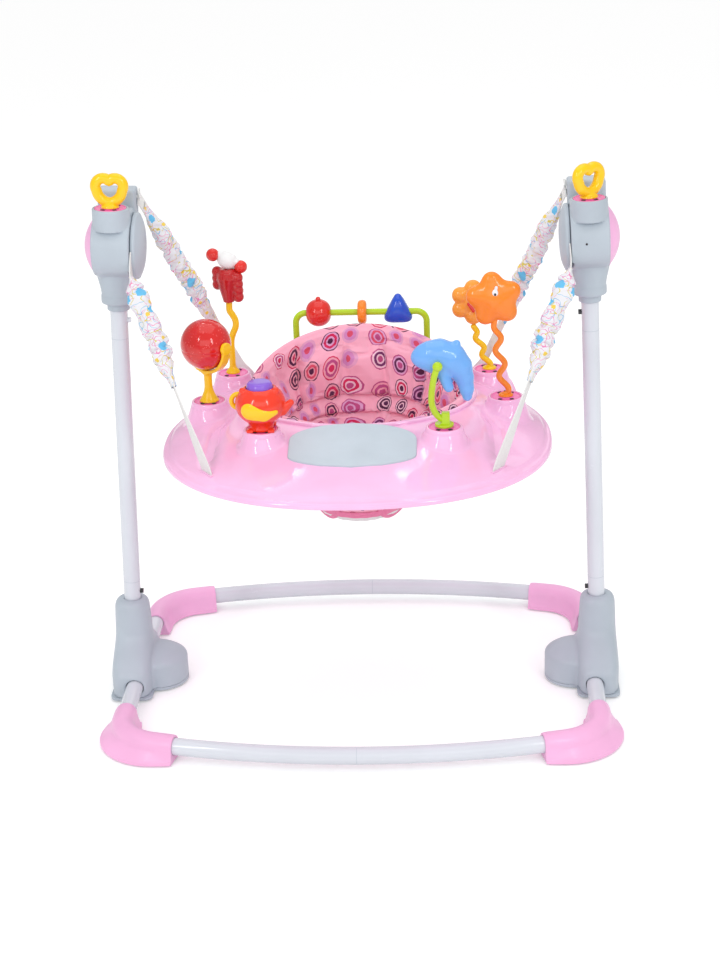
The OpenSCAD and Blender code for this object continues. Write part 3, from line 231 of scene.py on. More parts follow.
def rounded(corners: list[tuple[float, float, float]], steps: int = 5) -> Array:
    """An outline whose corners are eased: each is a quadratic curve between points a radius off on its legs.

    Args:
        corners: across, along and easing radius of each corner.
        steps: stretches in each eased corner.

    Returns:
        The points of the outline.
    """
    places = np.array([c[:2] for c in corners], float)
    line = [places[:1]]
    t = np.linspace(0, 1, steps + 1)[:, None]
    for before, at, after, corner in zip(places, places[1:], places[2:], corners[1:]):
        back, on = before - at, after - at
        room = min(np.linalg.norm(back), np.linalg.norm(on)) / 2
        ease = min(corner[2], room)
        start, end = at + unit(back) * ease, at + unit(on) * ease
        line.append((1 - t) ** 2 * start + 2 * t * (1 - t) * at + t**2 * end)
    return np.concatenate(line + [places[-1:]])


def lathe(profile: Array, sides: int = 72) -> Shape:
    """A profile of radius and height turned about Z: each height's circle has that radius."""
    angle = turn_of(sides)
    r, h = profile[:, :1], profile[:, 1:]
    return surface(stacked(r * np.cos(angle), r * np.sin(angle), h + 0 * angle))


def globe(radius: float, rows: int, sides: int) -> Shape:
    """A ball about the origin, turned from a half circle."""
    a = np.linspace(-math.pi / 2, math.pi / 2, rows)
    return lathe(radius * stacked(np.cos(a), np.sin(a)), sides)


def onto_x(points: Array) -> Array:
    """A shape turned about Z, laid so that it is turned about X."""
    return points[..., [2, 1, 0]]


def smooth_path(points: Array, count: int, closed: bool = False) -> Array:
    """A Catmull-Rom curve through points: each stretch is a cubic whose ends lean as their neighbours do.

    Args:
        points: places that the curve passes.
        count: points on the whole curve.
        closed: the curve returns to its start.

    Returns:
        The points on the curve.
    """
    p = np.asarray(points, float)
    n = len(p)
    s = np.linspace(0, n if closed else n - 1, count, endpoint=not closed)
    i = np.minimum(s.astype(int), n - 1 if closed else n - 2)
    t = (s - i)[:, None]
    pick = (lambda k: p[k % n]) if closed else (lambda k: p[np.clip(k, 0, n - 1)])
    a, b, c, d = pick(i - 1), pick(i), pick(i + 1), pick(i + 2)
    return b + t / 2 * (c - a + t * (2 * a - 5 * b + 4 * c - d + t * (3 * (b - c) + d - a)))


def sweep(path: Array, radius: float, across: Array = BACK, sides: int = 24, closed: bool = False) -> Shape:
    """A round section carried along a path, with a half dome on each open end.

    Args:
        path: points of the centre line.
        radius: radius of the section.
        across: direction that the section's second axis stays near.
        sides: points round the section.
        closed: the path returns to its start.

    Returns:
        The tube.
    """
    line = np.asarray(path, float)
    r = np.full(len(line), radius)
    if closed:
        along = unit(np.roll(line, -1, 0) - np.roll(line, 1, 0))
    else:
        along = unit(np.gradient(line, axis=0))
        dome = np.linspace(0, math.pi / 2, 6)[:-1]
        bulge = 0.6 * radius * np.cos(dome)[:, None]
        line = np.concatenate([line[0] - along[0] * bulge, line, line[-1] + along[-1] * bulge[::-1]])
        along = np.concatenate([np.repeat(along[:1], 5, 0), along, np.repeat(along[-1:], 5, 0)])
        r = np.concatenate([radius * np.sin(dome), r, radius * np.sin(dome)[::-1]])
    second = unit(across - along * (along @ across)[:, None])
    first = np.cross(second, along)
    angle = turn_of(sides)[:, None]
    ring = first[:, None] * np.cos(angle) + second[:, None] * np.sin(angle)
    return surface(line[:, None] + r[:, None, None] * ring, loop=closed)


def ball(p: Array, centre: tuple, radius: float) -> Array:
    """Distance to a ball."""
    return np.linalg.norm(p - np.array(centre, float), axis=-1) - radius


def egg(p: Array, centre: tuple, half: tuple) -> Array:
    """Near distance to an ellipsoid: the scaled radius less 1, times its least half axis."""
    q = (p - np.array(centre, float)) / np.array(half, float)
    return (np.linalg.norm(q, axis=-1) - 1) * min(half)


def rod(p: Array, a: tuple, b: tuple, ra: float, rb: float) -> Array:
    """Distance to a round rod from a to b whose radius runs from ra to rb."""
    a, b = np.array(a, float), np.array(b, float)
    t = np.clip((p - a) @ (b - a) / ((b - a) @ (b - a)), 0, 1)
    return np.linalg.norm(p - a - t[..., None] * (b - a), axis=-1) - (ra + (rb - ra) * t)


def block(p: Array, low: tuple, high: tuple, edge: float) -> Array:
    """Distance to a box between two corners, with round edges."""
    low, high = np.array(low, float), np.array(high, float)
    q = np.abs(p - (low + high) / 2) - (high - low) / 2 + edge
    return np.linalg.norm(np.maximum(q, 0), axis=-1) + np.minimum(q.max(axis=-1), 0) - edge


def drum(p: Array, centre: tuple, axis: int, radius: float, half: float, edge: float) -> Array:
    """Distance to a round disc across an axis, with round edges."""
    q = p - np.array(centre, float)
    others = [k for k in range(3) if k != axis]
    out = np.hypot(q[..., others[0]], q[..., others[1]]) - radius + edge
    up = np.abs(q[..., axis]) - half + edge
    return np.hypot(np.maximum(out, 0), np.maximum(up, 0)) + np.minimum(np.maximum(out, up), 0) - edge


def melt(a: Array, b: Array, ease: float) -> Array:
    """Union of two forms with a fillet: the lesser distance, less where both are near."""
    h = np.clip(0.5 + 0.5 * (b - a) / ease, 0, 1)
    return b + (a - b) * h - ease * h * (1 - h)


def carve(a: Array, b: Array, ease: float) -> Array:
    """The first form less the second, with an eased edge."""
    return -melt(-a, b, ease)


def moulded(form: Field, low: tuple, high: tuple, step: float) -> Shape:
    """Skin of a blended form, where its distance is zero.

    Each grid cell that the skin crosses gets one point, the mean of the crossings on the cell's edges.
    Newton steps along the distance's slope settle it on the skin. Four cells round a crossed edge share a
    face.

    Args:
        form: distance to the skin, below zero inside.
        low: lowest corner of the space to look in.
        high: highest corner.
        step: grid step.

    Returns:
        The closed skin.
    """
    axes = [np.arange(a, b + step, step) for a, b in zip(low, high)]
    value = form(np.stack(np.meshgrid(*axes, indexing="ij"), axis=-1))
    inside = value < 0
    nx, ny, nz = np.array(value.shape) - 1
    corners = np.array([(i, j, k) for i in (0, 1) for j in (0, 1) for k in (0, 1)])

    def corner(a: Array, c: Array) -> Array:
        """The grid's values at one corner of every cell."""
        return a[c[0] : c[0] + nx, c[1] : c[1] + ny, c[2] : c[2] + nz]

    count = sum(corner(inside, c).astype(np.int8) for c in corners)
    mixed = (count > 0) & (count < 8)
    cell = np.full(mixed.shape, -1)
    cell[mixed] = np.arange(mixed.sum())
    total, hits = np.zeros((mixed.sum(), 3)), np.zeros((mixed.sum(), 1))
    edges = [(a, b) for a in corners for b in corners if (b - a).sum() == 1 and (b - a).min() == 0]
    for a, b in edges:
        va, vb = corner(value, a)[mixed], corner(value, b)[mixed]
        crossed = (va < 0) != (vb < 0)
        t = np.where(crossed, va / np.where(crossed, va - vb, 1), 0)
        total += crossed[:, None] * (a + t[:, None] * (b - a))
        hits += crossed[:, None]
    points = np.array(low) + step * (np.argwhere(mixed) + total / hits)
    probe = step * 0.05 * np.eye(3)
    for _ in range(3):
        slope = np.stack([form(points + d) - form(points - d) for d in probe], axis=-1) / (step * 0.1)
        move = form(points)[:, None] * slope / np.maximum((slope**2).sum(-1, keepdims=True), 0.05)
        points = points - np.clip(move, -step / 2, step / 2)
    quads = []
    for axis in range(3):
        state, number = np.moveaxis(inside, axis, 0), np.moveaxis(cell, axis, 0)
        i, j, k = np.nonzero(state[:-1, 1:-1, 1:-1] != state[1:, 1:-1, 1:-1])
        quads.append(np.stack([number[i, j, k], number[i, j + 1, k], number[i, j + 1, k + 1],
                               number[i, j, k + 1]], axis=-1))
    return Shape(points, np.concatenate(quads))


class Tree:
    """Adds and wires the nodes of one material or node group."""

    def __init__(self, tree: bpy.types.NodeTree) -> None:
        """Keeps the tree that the nodes go into."""
        self.tree = tree

    def feed(self, sockets: bpy.types.NodeInputs, values: dict) -> None:
        """Gives inputs their values, and wires those whose value is another node's output."""
        for key, value in values.items():
            if isinstance(value, bpy.types.NodeSocket):
                self.tree.links.new(value, sockets[key])
            else:
                sockets[key].default_value = value

    def add(self, kind: str, inputs: dict | None = None, **settings: object) -> bpy.types.Node:
        """Adds a node.

        Args:
            kind: Blender's name for the node, less its first part, ShaderNode.
            inputs: values or outputs for the node's inputs, by name or number.
            settings: the node's own settings.

        Returns:
            The node.
        """
        node = self.tree.nodes.new("ShaderNode" + kind)
        for key, value in settings.items():
            setattr(node, key, value)
        self.feed(node.inputs, inputs or {})
        return node

    def effect(self, effect: Effect, inputs: dict) -> bpy.types.NodeOutputs:
        """Places the group of a shared effect and gives its outputs."""
        return self.add("Group", inputs, node_tree=EFFECTS.group(effect)).outputs

    def span(self, value: object, low: float, high: float) -> bpy.types.NodeSocket:
        """A value from 0 to 1, spread from low to high."""
        return self.add("MapRange", {"Value": value, "To Min": low, "To Max": high}).outputs[0]

    def bump(self, height: object, strength: float, reach: float) -> bpy.types.NodeSocket:
        """Normals of a surface that rises by a height, up to a reach in metres."""
        inputs = {"Height": height, "Strength": strength, "Distance": reach}
        return self.add("Bump", inputs).outputs[0]

    def cells(self, place: object, scale: object, spread: float) -> bpy.types.NodeOutputs:
        """Cells about points on a loose flat grid."""
        inputs = {"Vector": place, "Scale": scale, "Randomness": spread}
        return self.add("TexVoronoi", inputs, voronoi_dimensions="2D").outputs

    def sum(self, operation: str, a: object, b: object = 0.0, c: object = 0.0) -> bpy.types.NodeSocket:
        """One step of arithmetic on up to three values."""
        return self.add("Math", {0: a, 1: b, 2: c}, operation=operation).outputs[0]

    def mix(self, share: object, a: object, b: object, blend: str = "MIX") -> bpy.types.NodeSocket:
        """A colour between a and b, or b laid over a in another way."""
        inputs = {0: share, 6: a, 7: b}
        return self.add("Mix", inputs, data_type="RGBA", blend_type=blend).outputs[2]

    def ramp(self, share: object, stops: list[tuple[float, Colour]],
             stepped: bool = True) -> bpy.types.NodeSocket:
        """Colours along a value, in steps or run together."""
        node = self.add("ValToRGB", {0: share})
        node.color_ramp.interpolation = "CONSTANT" if stepped else "LINEAR"
        while len(node.color_ramp.elements) < len(stops):
            node.color_ramp.elements.new(0.5)
        for element, (place, colour) in zip(node.color_ramp.elements, stops):
            element.position = place
            element.color = (*colour, 1.0)
        return node.outputs[0]

    def noise(self, place: object, scale: object, detail: float) -> bpy.types.NodeSocket:
        """Soft noise from 0 to 1."""
        return self.add("TexNoise", {"Vector": place, "Scale": scale, "Detail": detail}).outputs[0]


def srgb(code: str) -> Colour:
    """A colour as written on a colour card, such as 'F7B6E0', in linear light."""
    value = np.array([int(code[i : i + 2], 16) for i in (0, 2, 4)]) / 255
    linear = np.where(value <= 0.04045, value / 12.92, ((value + 0.055) / 1.055) ** 2.4)
    return tuple(float(v) for v in linear)


class Effect(Enum):
    """Surface effects that several materials share."""

    GRAIN = "moulded_grain"
    WEAVE = "plain_weave"
    RINGS = "ring_print"
    SQUIGGLES = "squiggle_print"
    GLITTER = "glitter_flakes"


class Effects:
    """Builds each shared effect once, as a node group."""

    def __init__(self) -> None:
        """Starts with no group built."""
        self.made: dict[Effect, bpy.types.NodeTree] = {}

    def group(self, effect: Effect) -> bpy.types.NodeTree:
        """The node group of an effect, built when first asked for."""
        if effect not in self.made:
            builder = {Effect.GRAIN: self.grain, Effect.WEAVE: self.weave, Effect.RINGS: self.rings,
                       Effect.SQUIGGLES: self.squiggles, Effect.GLITTER: self.glitter}[effect]
            self.made[effect] = builder(effect.value)
        return self.made[effect]

    @staticmethod
    def start(name: str, inputs: dict, outputs: dict) -> tuple[Tree, object, object]:
        """An empty group with named inputs and outputs.

        Args:
            name: the group's name.
            inputs: kind and first value of each input, beside the place on the surface.
            outputs: kind of each output.

        Returns:
            The group's tree, its input sockets and its output sockets.
        """
        group = bpy.data.node_groups.new(name, "ShaderNodeTree")
        for label, (kind, value) in {"Place": ("Vector", None), **inputs}.items():
            socket = group.interface.new_socket(name=label, in_out="INPUT", socket_type="NodeSocket" + kind)
            if value is not None:
                socket.default_value = value
        for label, kind in outputs.items():
            group.interface.new_socket(name=label, in_out="OUTPUT", socket_type="NodeSocket" + kind)
        source = group.nodes.new("NodeGroupInput").outputs
        return Tree(group), source, group.nodes.new("NodeGroupOutput").inputs

    def grain(self, name: str) -> bpy.types.NodeTree:
        """Fine pits of moulded plastic, a slow mottle of its tint, and faint rubbed patches."""
        tree, source, sink = self.start(name, {"Pits": ("Float", 1400.0), "Mottle": ("Float", 14.0)},
                                        {"Height": "Float", "Mottle": "Float", "Rubbed": "Float"})
        place = source["Place"]
        rub = tree.add("TexNoise", {"Vector": place, "Scale": 46.0, "Detail": 6.0, "Roughness": 0.7})
        worn = tree.add("MapRange", {"Value": rub.outputs[0], "From Min": 0.52, "From Max": 0.72})
        tree.feed(sink, {"Height": tree.noise(place, source["Pits"], 3.0), "Rubbed": worn.outputs[0],
                         "Mottle": tree.noise(place, source["Mottle"], 4.0)})
        return tree.tree

    def weave(self, name: str) -> bpy.types.NodeTree:
        """Plain weave: threads along and across, each over and under in turn. Its Shade is painted shade, low
        in the gaps between threads, with the yarn's own slow tone change mixed in.
        """
        tree, source, sink = self.start(name, {"Threads": ("Float", 1600.0)},
                                        {"Height": "Float", "Shade": "Float"})
        axes = tree.add("SeparateXYZ", {0: source["Place"]}).outputs
        turn = tree.sum("MULTIPLY", source["Threads"], math.pi)
        along, over = (tree.sum("SINE", tree.sum("MULTIPLY", axes[k], turn)) for k in (0, 1))
        bumps = tree.sum("MULTIPLY", tree.sum("ABSOLUTE", along), tree.sum("ABSOLUTE", over))
        turns = tree.sum("MULTIPLY_ADD", tree.sum("SIGN", tree.sum("MULTIPLY", along, over)), 0.12, 0.5)
        # Painted shade: Shade falls in the gaps between threads; the slub noise is the yarn's own slow tone
        # change.
        slub = tree.noise(source["Place"], 220.0, 3.0)
        shade = tree.sum("MULTIPLY_ADD", slub, 0.5, tree.sum("MULTIPLY", bumps, 0.5))
        tree.feed(sink, {"Height": tree.sum("MULTIPLY_ADD", bumps, 0.6, turns), "Shade": shade})
        return tree.tree

    def rings(self, name: str) -> bpy.types.NodeTree:
        """Print of dots, one to a cell: rings that follow the distance from its middle, or a soft halo."""
        tree, source, sink = self.start(name, {"Spacing": ("Float", 0.033), "Cloth": ("Color", None)},
                                        {"Colour": "Color"})
        place, cloth = source["Place"], source["Cloth"]
        cells = tree.cells(place, tree.sum("DIVIDE", 1.0, source["Spacing"]), 0.36)
        pick = tree.add("SeparateColor", {0: cells["Color"]}).outputs
        size = tree.sum("MULTIPLY_ADD", pick[1], 0.1, 0.36)
        far = tree.sum("SUBTRACT", cells["Distance"], 0.03)
        way = tree.sum("DIVIDE", tree.sum("MULTIPLY_ADD", tree.noise(place, 190.0, 1.0), 0.06, far), size)
        inks = [srgb(c) for c in ("5C1E50", "D81E5B", "551A48", "C04A86", "732A66", "E4506E")]
        first = tree.ramp(pick[0], [(i / 6, inks[i]) for i in range(6)])
        second = tree.ramp(pick[2], [(i / 6, inks[(i * 5 + 3) % 6]) for i in range(6)])
        light = tree.ramp(pick[1], [(0.0, srgb("F9CBDD")), (0.35, srgb("E3A6D2")), (0.7, srgb("F7A9BC"))])
        ringed = cloth
        for low, high, ink in ((0.0, 0.98, light), (0.46, 0.7, second), (0.0, 0.3, first),
                               (0.87, 0.98, first)):
            before = [(0.0, BLACK)] if low else []
            ringed = tree.mix(tree.ramp(way, [*before, (low, WHITE), (high, BLACK)]), ringed, ink)
        soft = tree.ramp(way, [(0.0, srgb("E0506F")), (0.34, srgb("D98CC6")), (0.7, srgb("E9A6CB")),
                               (0.95, WHITE)])
        halo = tree.mix(tree.sum("LESS_THAN", way, 0.95), cloth, soft)
        plain = tree.sum("GREATER_THAN", pick[0], 0.68)
        tree.feed(sink, {"Colour": tree.mix(plain, ringed, halo)})
        return tree.tree

    def squiggles(self, name: str) -> bpy.types.NodeTree:
        """Print of loose line squiggles, round blots and small dots on pale cloth."""
        tree, source, sink = self.start(name, {"Cloth": ("Color", None)}, {"Colour": "Color"})
        place, colour = source["Place"], source["Cloth"]
        for shift, ink, scale in ((0.0, "EE86B6", 62.0), (5.2, "E58FC0", 71.0), (7.3, "8FC3E6", 57.0),
                                  (3.1, "DCCB62", 53.0)):
            moved = tree.add("VectorMath", {0: place, 1: (shift, shift, 0)}, operation="ADD").outputs[0]
            band = tree.sum("COMPARE", tree.noise(moved, scale, 0.5), 0.5, 0.013)
            where = tree.sum("GREATER_THAN", tree.noise(moved, 31.0, 0.0), 0.5)
            colour = tree.mix(tree.sum("MULTIPLY", band, where), colour, (*srgb(ink), 1.0))
        for shift, ink, spacing, size in ((1.7, "66BFEC", 0.05, 0.16), (4.9, "F1CF54", 0.035, 0.10)):
            moved = tree.add("VectorMath", {0: place, 1: (shift, 0, 0)}, operation="ADD").outputs[0]
            far = tree.cells(moved, 1 / spacing, 0.8)["Distance"]
            ragged = tree.sum("MULTIPLY_ADD", tree.noise(place, 260.0, 1.0), 0.12, far)
            blot = tree.ramp(tree.sum("SUBTRACT", ragged, 0.06), [(0.0, WHITE), (size, BLACK)])
            colour = tree.mix(blot, colour, (*srgb(ink), 1.0))
        tree.feed(sink, {"Colour": colour})
        return tree.tree

    def glitter(self, name: str) -> bpy.types.NodeTree:
        """Small flakes set in clear plastic: some cells of a fine pattern are picked, and the finish paints
        their glint as a lighter colour.
        """
        tree, source, sink = self.start(name, {"Flakes": ("Float", 420.0)}, {"Spark": "Float"})
        cells = tree.add("TexVoronoi", {"Vector": source["Place"], "Scale": source["Flakes"]}).outputs
        pick = tree.add("SeparateColor", {0: cells["Color"]}).outputs
        bright = tree.sum("GREATER_THAN", pick[0], 0.86)
        small = tree.sum("LESS_THAN", cells["Distance"], 0.42)
        tree.feed(sink, {"Spark": tree.sum("MULTIPLY", bright, small)})
        return tree.tree


EFFECTS = Effects()


@dataclass(frozen=True)
class Finish:
    """What every finish has: a name, the record's slot and its main colour."""

    name: str
    slot: str
    colour: Colour

    @property
    def label(self) -> str:
        """Name of the finish's material, which differs from the plain ones that come with the solids."""
        return "finish_" + self.name

    def begin(self) -> tuple[bpy.types.Material, Tree, bpy.types.Node]:
        """A new material with its tree and shader."""
        material = bpy.data.materials.new(self.label)
        material.use_nodes = True
        tree = Tree(material.node_tree)
        return material, tree, material.node_tree.nodes["Principled BSDF"]


@dataclass(frozen=True)
class Plastic(Finish):
    """Moulded plastic: a mottled tint, fine pits, rubbed patches and an even coat of gloss; glitter flakes
    get a painted glint.
    """

    roughness: float = 0.28
    coat: float = 0.25
    depth: float = 0.03
    pits: float = 1400.0
    # sparkle: how much the glitter flakes' painted glint lightens the colour.
    sparkle: float = 0.0
    clear: float = 0.0
    coat_rough: float = 0.06
    rubbed: float = 0.07
    bend: float = 1.48
    pit_depth: float = 0.0004

    def build(self) -> bpy.types.Material:
        """The finish as a material."""
        material, tree, shader = self.begin()
        place = tree.add("TexCoord").outputs["Object"]
        grain = tree.effect(Effect.GRAIN, {"Place": place, "Pits": self.pits})
        dark = tuple(c * 0.93 for c in self.colour)
        pale = tuple(min(1.0, c * 1.03 + 0.004) for c in self.colour)
        colour = tree.ramp(grain["Mottle"], [(0.3, dark), (0.7, pale)], stepped=False)
        # Painted glint: the flakes, which the plastic really holds, are lightened in the colour to stand for
        # their glints.
        if self.sparkle:
            flakes = tree.effect(Effect.GLITTER, {"Place": place})
            bright = tuple(min(1.0, c * 1.5 + 0.12) for c in self.colour)
            colour = tree.mix(tree.sum("MULTIPLY", flakes["Spark"], self.sparkle), colour, (*bright, 1.0))
        tree.feed(shader.inputs, {
            "Base Color": colour, "Normal": tree.bump(grain["Height"], self.depth, self.pit_depth),
            "Roughness": tree.span(grain["Rubbed"], self.roughness, self.roughness + self.rubbed),
            "Coat Weight": self.coat, "Coat Roughness": self.coat_rough, "IOR": self.bend,
            "Transmission Weight": self.clear})
        return material


@dataclass(frozen=True)
class Metal(Finish):
    """Painted or bare steel: a faint mottle, fine orange peel and rubbed patches."""

    roughness: float = 0.22
    bare: float = 0.0
    pits: float = 620.0
    mottle: float = 9.0
    depth: float = 0.03
    pit_depth: float = 0.0005
    rubbed: float = 0.1
    coat: float = 0.4
    coat_rough: float = 0.08

    def build(self) -> bpy.types.Material:
        """The finish as a material."""
        material, tree, shader = self.begin()
        place = tree.add("TexCoord").outputs["Object"]
        grain = tree.effect(Effect.GRAIN, {"Place": place, "Pits": self.pits, "Mottle": self.mottle})
        dark = tuple(c * 0.95 for c in self.colour)
        tree.feed(shader.inputs, {
            "Base Color": tree.ramp(grain["Mottle"], [(0.3, dark), (0.7, self.colour)], stepped=False),
            "Roughness": tree.span(grain["Rubbed"], self.roughness, self.roughness + self.rubbed),
            "Normal": tree.bump(grain["Height"], self.depth, self.pit_depth), "Metallic": self.bare,
            "Coat Weight": 0.0 if self.bare else self.coat, "Coat Roughness": self.coat_rough})
        return material


@dataclass(frozen=True)
class Cloth(Finish):
    """Woven cloth with or without a print, which follows the piece's own print map, with painted shade in the
    gaps between its threads.
    """

    threads: float = 1500.0
    printed: Effect | None = None
    depth: float = 0.35
    roughness: float = 0.85
    sheen: float = 0.25
    thread_depth: float = 0.0003
    # gap_shade: the most painted shade in the gaps between threads.
    gap_shade: float = 0.12

    def build(self) -> bpy.types.Material:
        """The finish as a material."""
        material, tree, shader = self.begin()
        place = tree.add("UVMap", uv_map="print").outputs[0]
        weave = tree.effect(Effect.WEAVE, {"Place": place, "Threads": self.threads})
        dye = (*self.colour, 1.0)
        if self.printed:
            dye = tree.effect(self.printed, {"Place": place, "Cloth": dye})["Colour"]
        # Painted shade: the dye darkens towards a dark brown by up to gap_shade in the gaps between threads,
        # mixed with the yarn's own slow tone change.
        shade = tree.span(weave["Shade"], self.gap_shade, 0.0)
        tree.feed(shader.inputs, {
            "Base Color": tree.mix(shade, dye, (0.05, 0.02, 0.03, 1.0), "MULTIPLY"),
            "Normal": tree.bump(weave["Height"], self.depth, self.thread_depth), "Roughness": self.roughness,
            "Sheen Weight": self.sheen, "Sheen Roughness": 0.5})
        return material


class Look(Enum):
    """The finishes on the jumper."""

    TUBE = Metal("tube_paint", "tube_paint", srgb("D8DCE4"), roughness=0.2)
    STEEL = Metal("bright_steel", "bright_steel", srgb("C4C8CE"), roughness=0.3, bare=1.0)
    DARK = Metal("dark_steel", "dark_steel", srgb("2A2B2E"), roughness=0.35)
    GREY = Plastic("grey_plastic", "grey_plastic", srgb("B5BFC9"), roughness=0.42, coat=0.05, depth=0.08,
                   pits=900.0)
    INSERT = Plastic("insert_grey", "insert_grey", srgb("BFCAD4"), roughness=0.55, coat=0.0, depth=0.12,
                     pits=700.0)
    TRAY = Plastic("tray_pink", "tray_pink", srgb("FBBFE6"), roughness=0.14, coat=0.5, depth=0.01)
    BOOT = Plastic("boot_pink", "boot_pink", srgb("F4B5DE"), roughness=0.36, coat=0.12, depth=0.05,
                   pits=1000.0)
    HOT = Plastic("hot_pink", "hot_pink", srgb("FB74BE"), roughness=0.24, coat=0.2)
    YELLOW = Plastic("yellow_plastic", "yellow_plastic", srgb("FFCC00"), roughness=0.2, coat=0.4)
    RED = Plastic("red_plastic", "red_plastic", srgb("E22B22"), roughness=0.16, coat=0.5)
    RED_GLITTER = Plastic("red_glitter", "red_plastic", srgb("D9211F"), roughness=0.14, coat=0.6, depth=0.01,
                          sparkle=0.5)
    RED_ORANGE = Plastic("red_orange", "red_plastic", srgb("F23A1E"), roughness=0.18, coat=0.45)
    RED_CLEAR = Plastic("red_clear", "red_plastic", srgb("CC2226"), roughness=0.16, coat=0.4, depth=0.02,
                        clear=0.1)
    AMBER = Plastic("amber_plastic", "orange_plastic", srgb("FFA43A"), roughness=0.2, coat=0.4)
    ORANGE = Plastic("orange_plastic", "orange_plastic", srgb("FF8A1E"), roughness=0.2, coat=0.4)
    LIME = Plastic("lime_plastic", "lime_plastic", srgb("B9DA1C"), roughness=0.22, coat=0.35)
    BLUE = Plastic("blue_plastic", "blue_plastic", srgb("72AEF2"), roughness=0.2, coat=0.4)
    DEEP_BLUE = Plastic("deep_blue_plastic", "deep_blue_plastic", srgb("1F4FCB"), roughness=0.18, coat=0.45)
    PURPLE = Plastic("purple_plastic", "purple_plastic", srgb("8A5FD3"), roughness=0.2, coat=0.4)
    WHITE = Plastic("white_plastic", "white_plastic", srgb("EFEFEF"), roughness=0.3, coat=0.2)
    # Painted shade: the dark fill of catch slots and the peep hole; the star's pupil also wears it as its own
    # dark colour.
    SHADOW = Plastic("slot_shade_and_pupil", "dark_steel", srgb("3A3238"), roughness=0.6, coat=0.0)
    RUBBER = Plastic("rubber", "rubber", srgb("2B2B2D"), roughness=0.75, coat=0.0, depth=0.2, pits=500.0)
    SEAT = Cloth("seat_fabric", "seat_fabric", srgb("FFB5CC"), printed=Effect.RINGS)
    BINDING = Cloth("seat_binding", "seat_fabric", srgb("EE7FA8"), threads=1300.0)
    LINING = Cloth("seat_lining", "strap_fabric", srgb("E9E7E6"), threads=1300.0)
    SLEEVE = Cloth("strap_fabric", "strap_fabric", srgb("E9E9EE"), threads=1700.0, printed=Effect.SQUIGGLES,
                   depth=0.25)
    WEBBING = Cloth("webbing", "webbing", srgb("EFEFED"), threads=900.0, depth=0.8, roughness=0.7, sheen=0.1)

    @property
    def material(self) -> bpy.types.Material:
        """The finish's material, built when first asked for."""
        return bpy.data.materials.get(self.value.label) or self.value.build()


def piece(name: str, shape: Shape, look: Look, sharp: float = 50.0) -> bpy.types.Object:
    """Makes a piece: merges doubled points, turns the faces outwards and dresses it.

    Args:
        name: the piece's name.
        shape: its surface, in millimetres.
        look: its finish.
        sharp: faces that meet at a larger angle, in degrees, keep a crisp edge.

    Returns:
        The piece, at the origin, with its place in its mesh.
    """
    mesh = bpy.data.meshes.new(name)
    mesh.from_pydata((shape.points * MM).tolist(), [], shape.quads.tolist())
    if shape.uv is not None:
        corner = np.zeros(len(mesh.loops), np.int32)
        mesh.loops.foreach_get("vertex_index", corner)
        layer = mesh.uv_layers.new(name="print")
        layer.data.foreach_set("uv", (shape.uv[corner] * MM).astype(np.float32).ravel())
    if shape.sewn is not None:
        sewn = mesh.attributes.new("sewn", "FLOAT", "POINT")
        sewn.data.foreach_set("value", shape.sewn.astype(np.float32))
    tidy = bmesh.new()
    tidy.from_mesh(mesh)
    bmesh.ops.remove_doubles(tidy, verts=tidy.verts, dist=2e-6)
    bmesh.ops.dissolve_degenerate(tidy, edges=tidy.edges, dist=1e-7)
    bmesh.ops.recalc_face_normals(tidy, faces=tidy.faces)
    tidy.to_mesh(mesh)
    tidy.free()
    mesh.shade_smooth()
    mesh.set_sharp_from_angle(angle=math.radians(sharp))
    mesh.materials.append(look.material)
    made = bpy.data.objects.new(name, mesh)
    bpy.context.scene.collection.objects.link(made)
    LOG.info("%s: %d faces", name, len(mesh.polygons))
    return made


def fitted(name: str, shape: Shape, look: Look, body: str, *nodes: str,
           sharp: float = 50.0) -> bpy.types.Object:
    """Makes a piece that rides on a body and stands for CAD nodes.

    Args:
        name: the piece's name.
        shape: its surface.
        look: its finish.
        body: the body that it moves with.
        nodes: the CAD nodes that it stands for.
        sharp: angle of a crisp edge, in degrees.

    Returns:
        The piece.
    """
    made = piece(name, shape, look, sharp)
    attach(made, body)
    if nodes:
        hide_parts(*nodes)
    return made


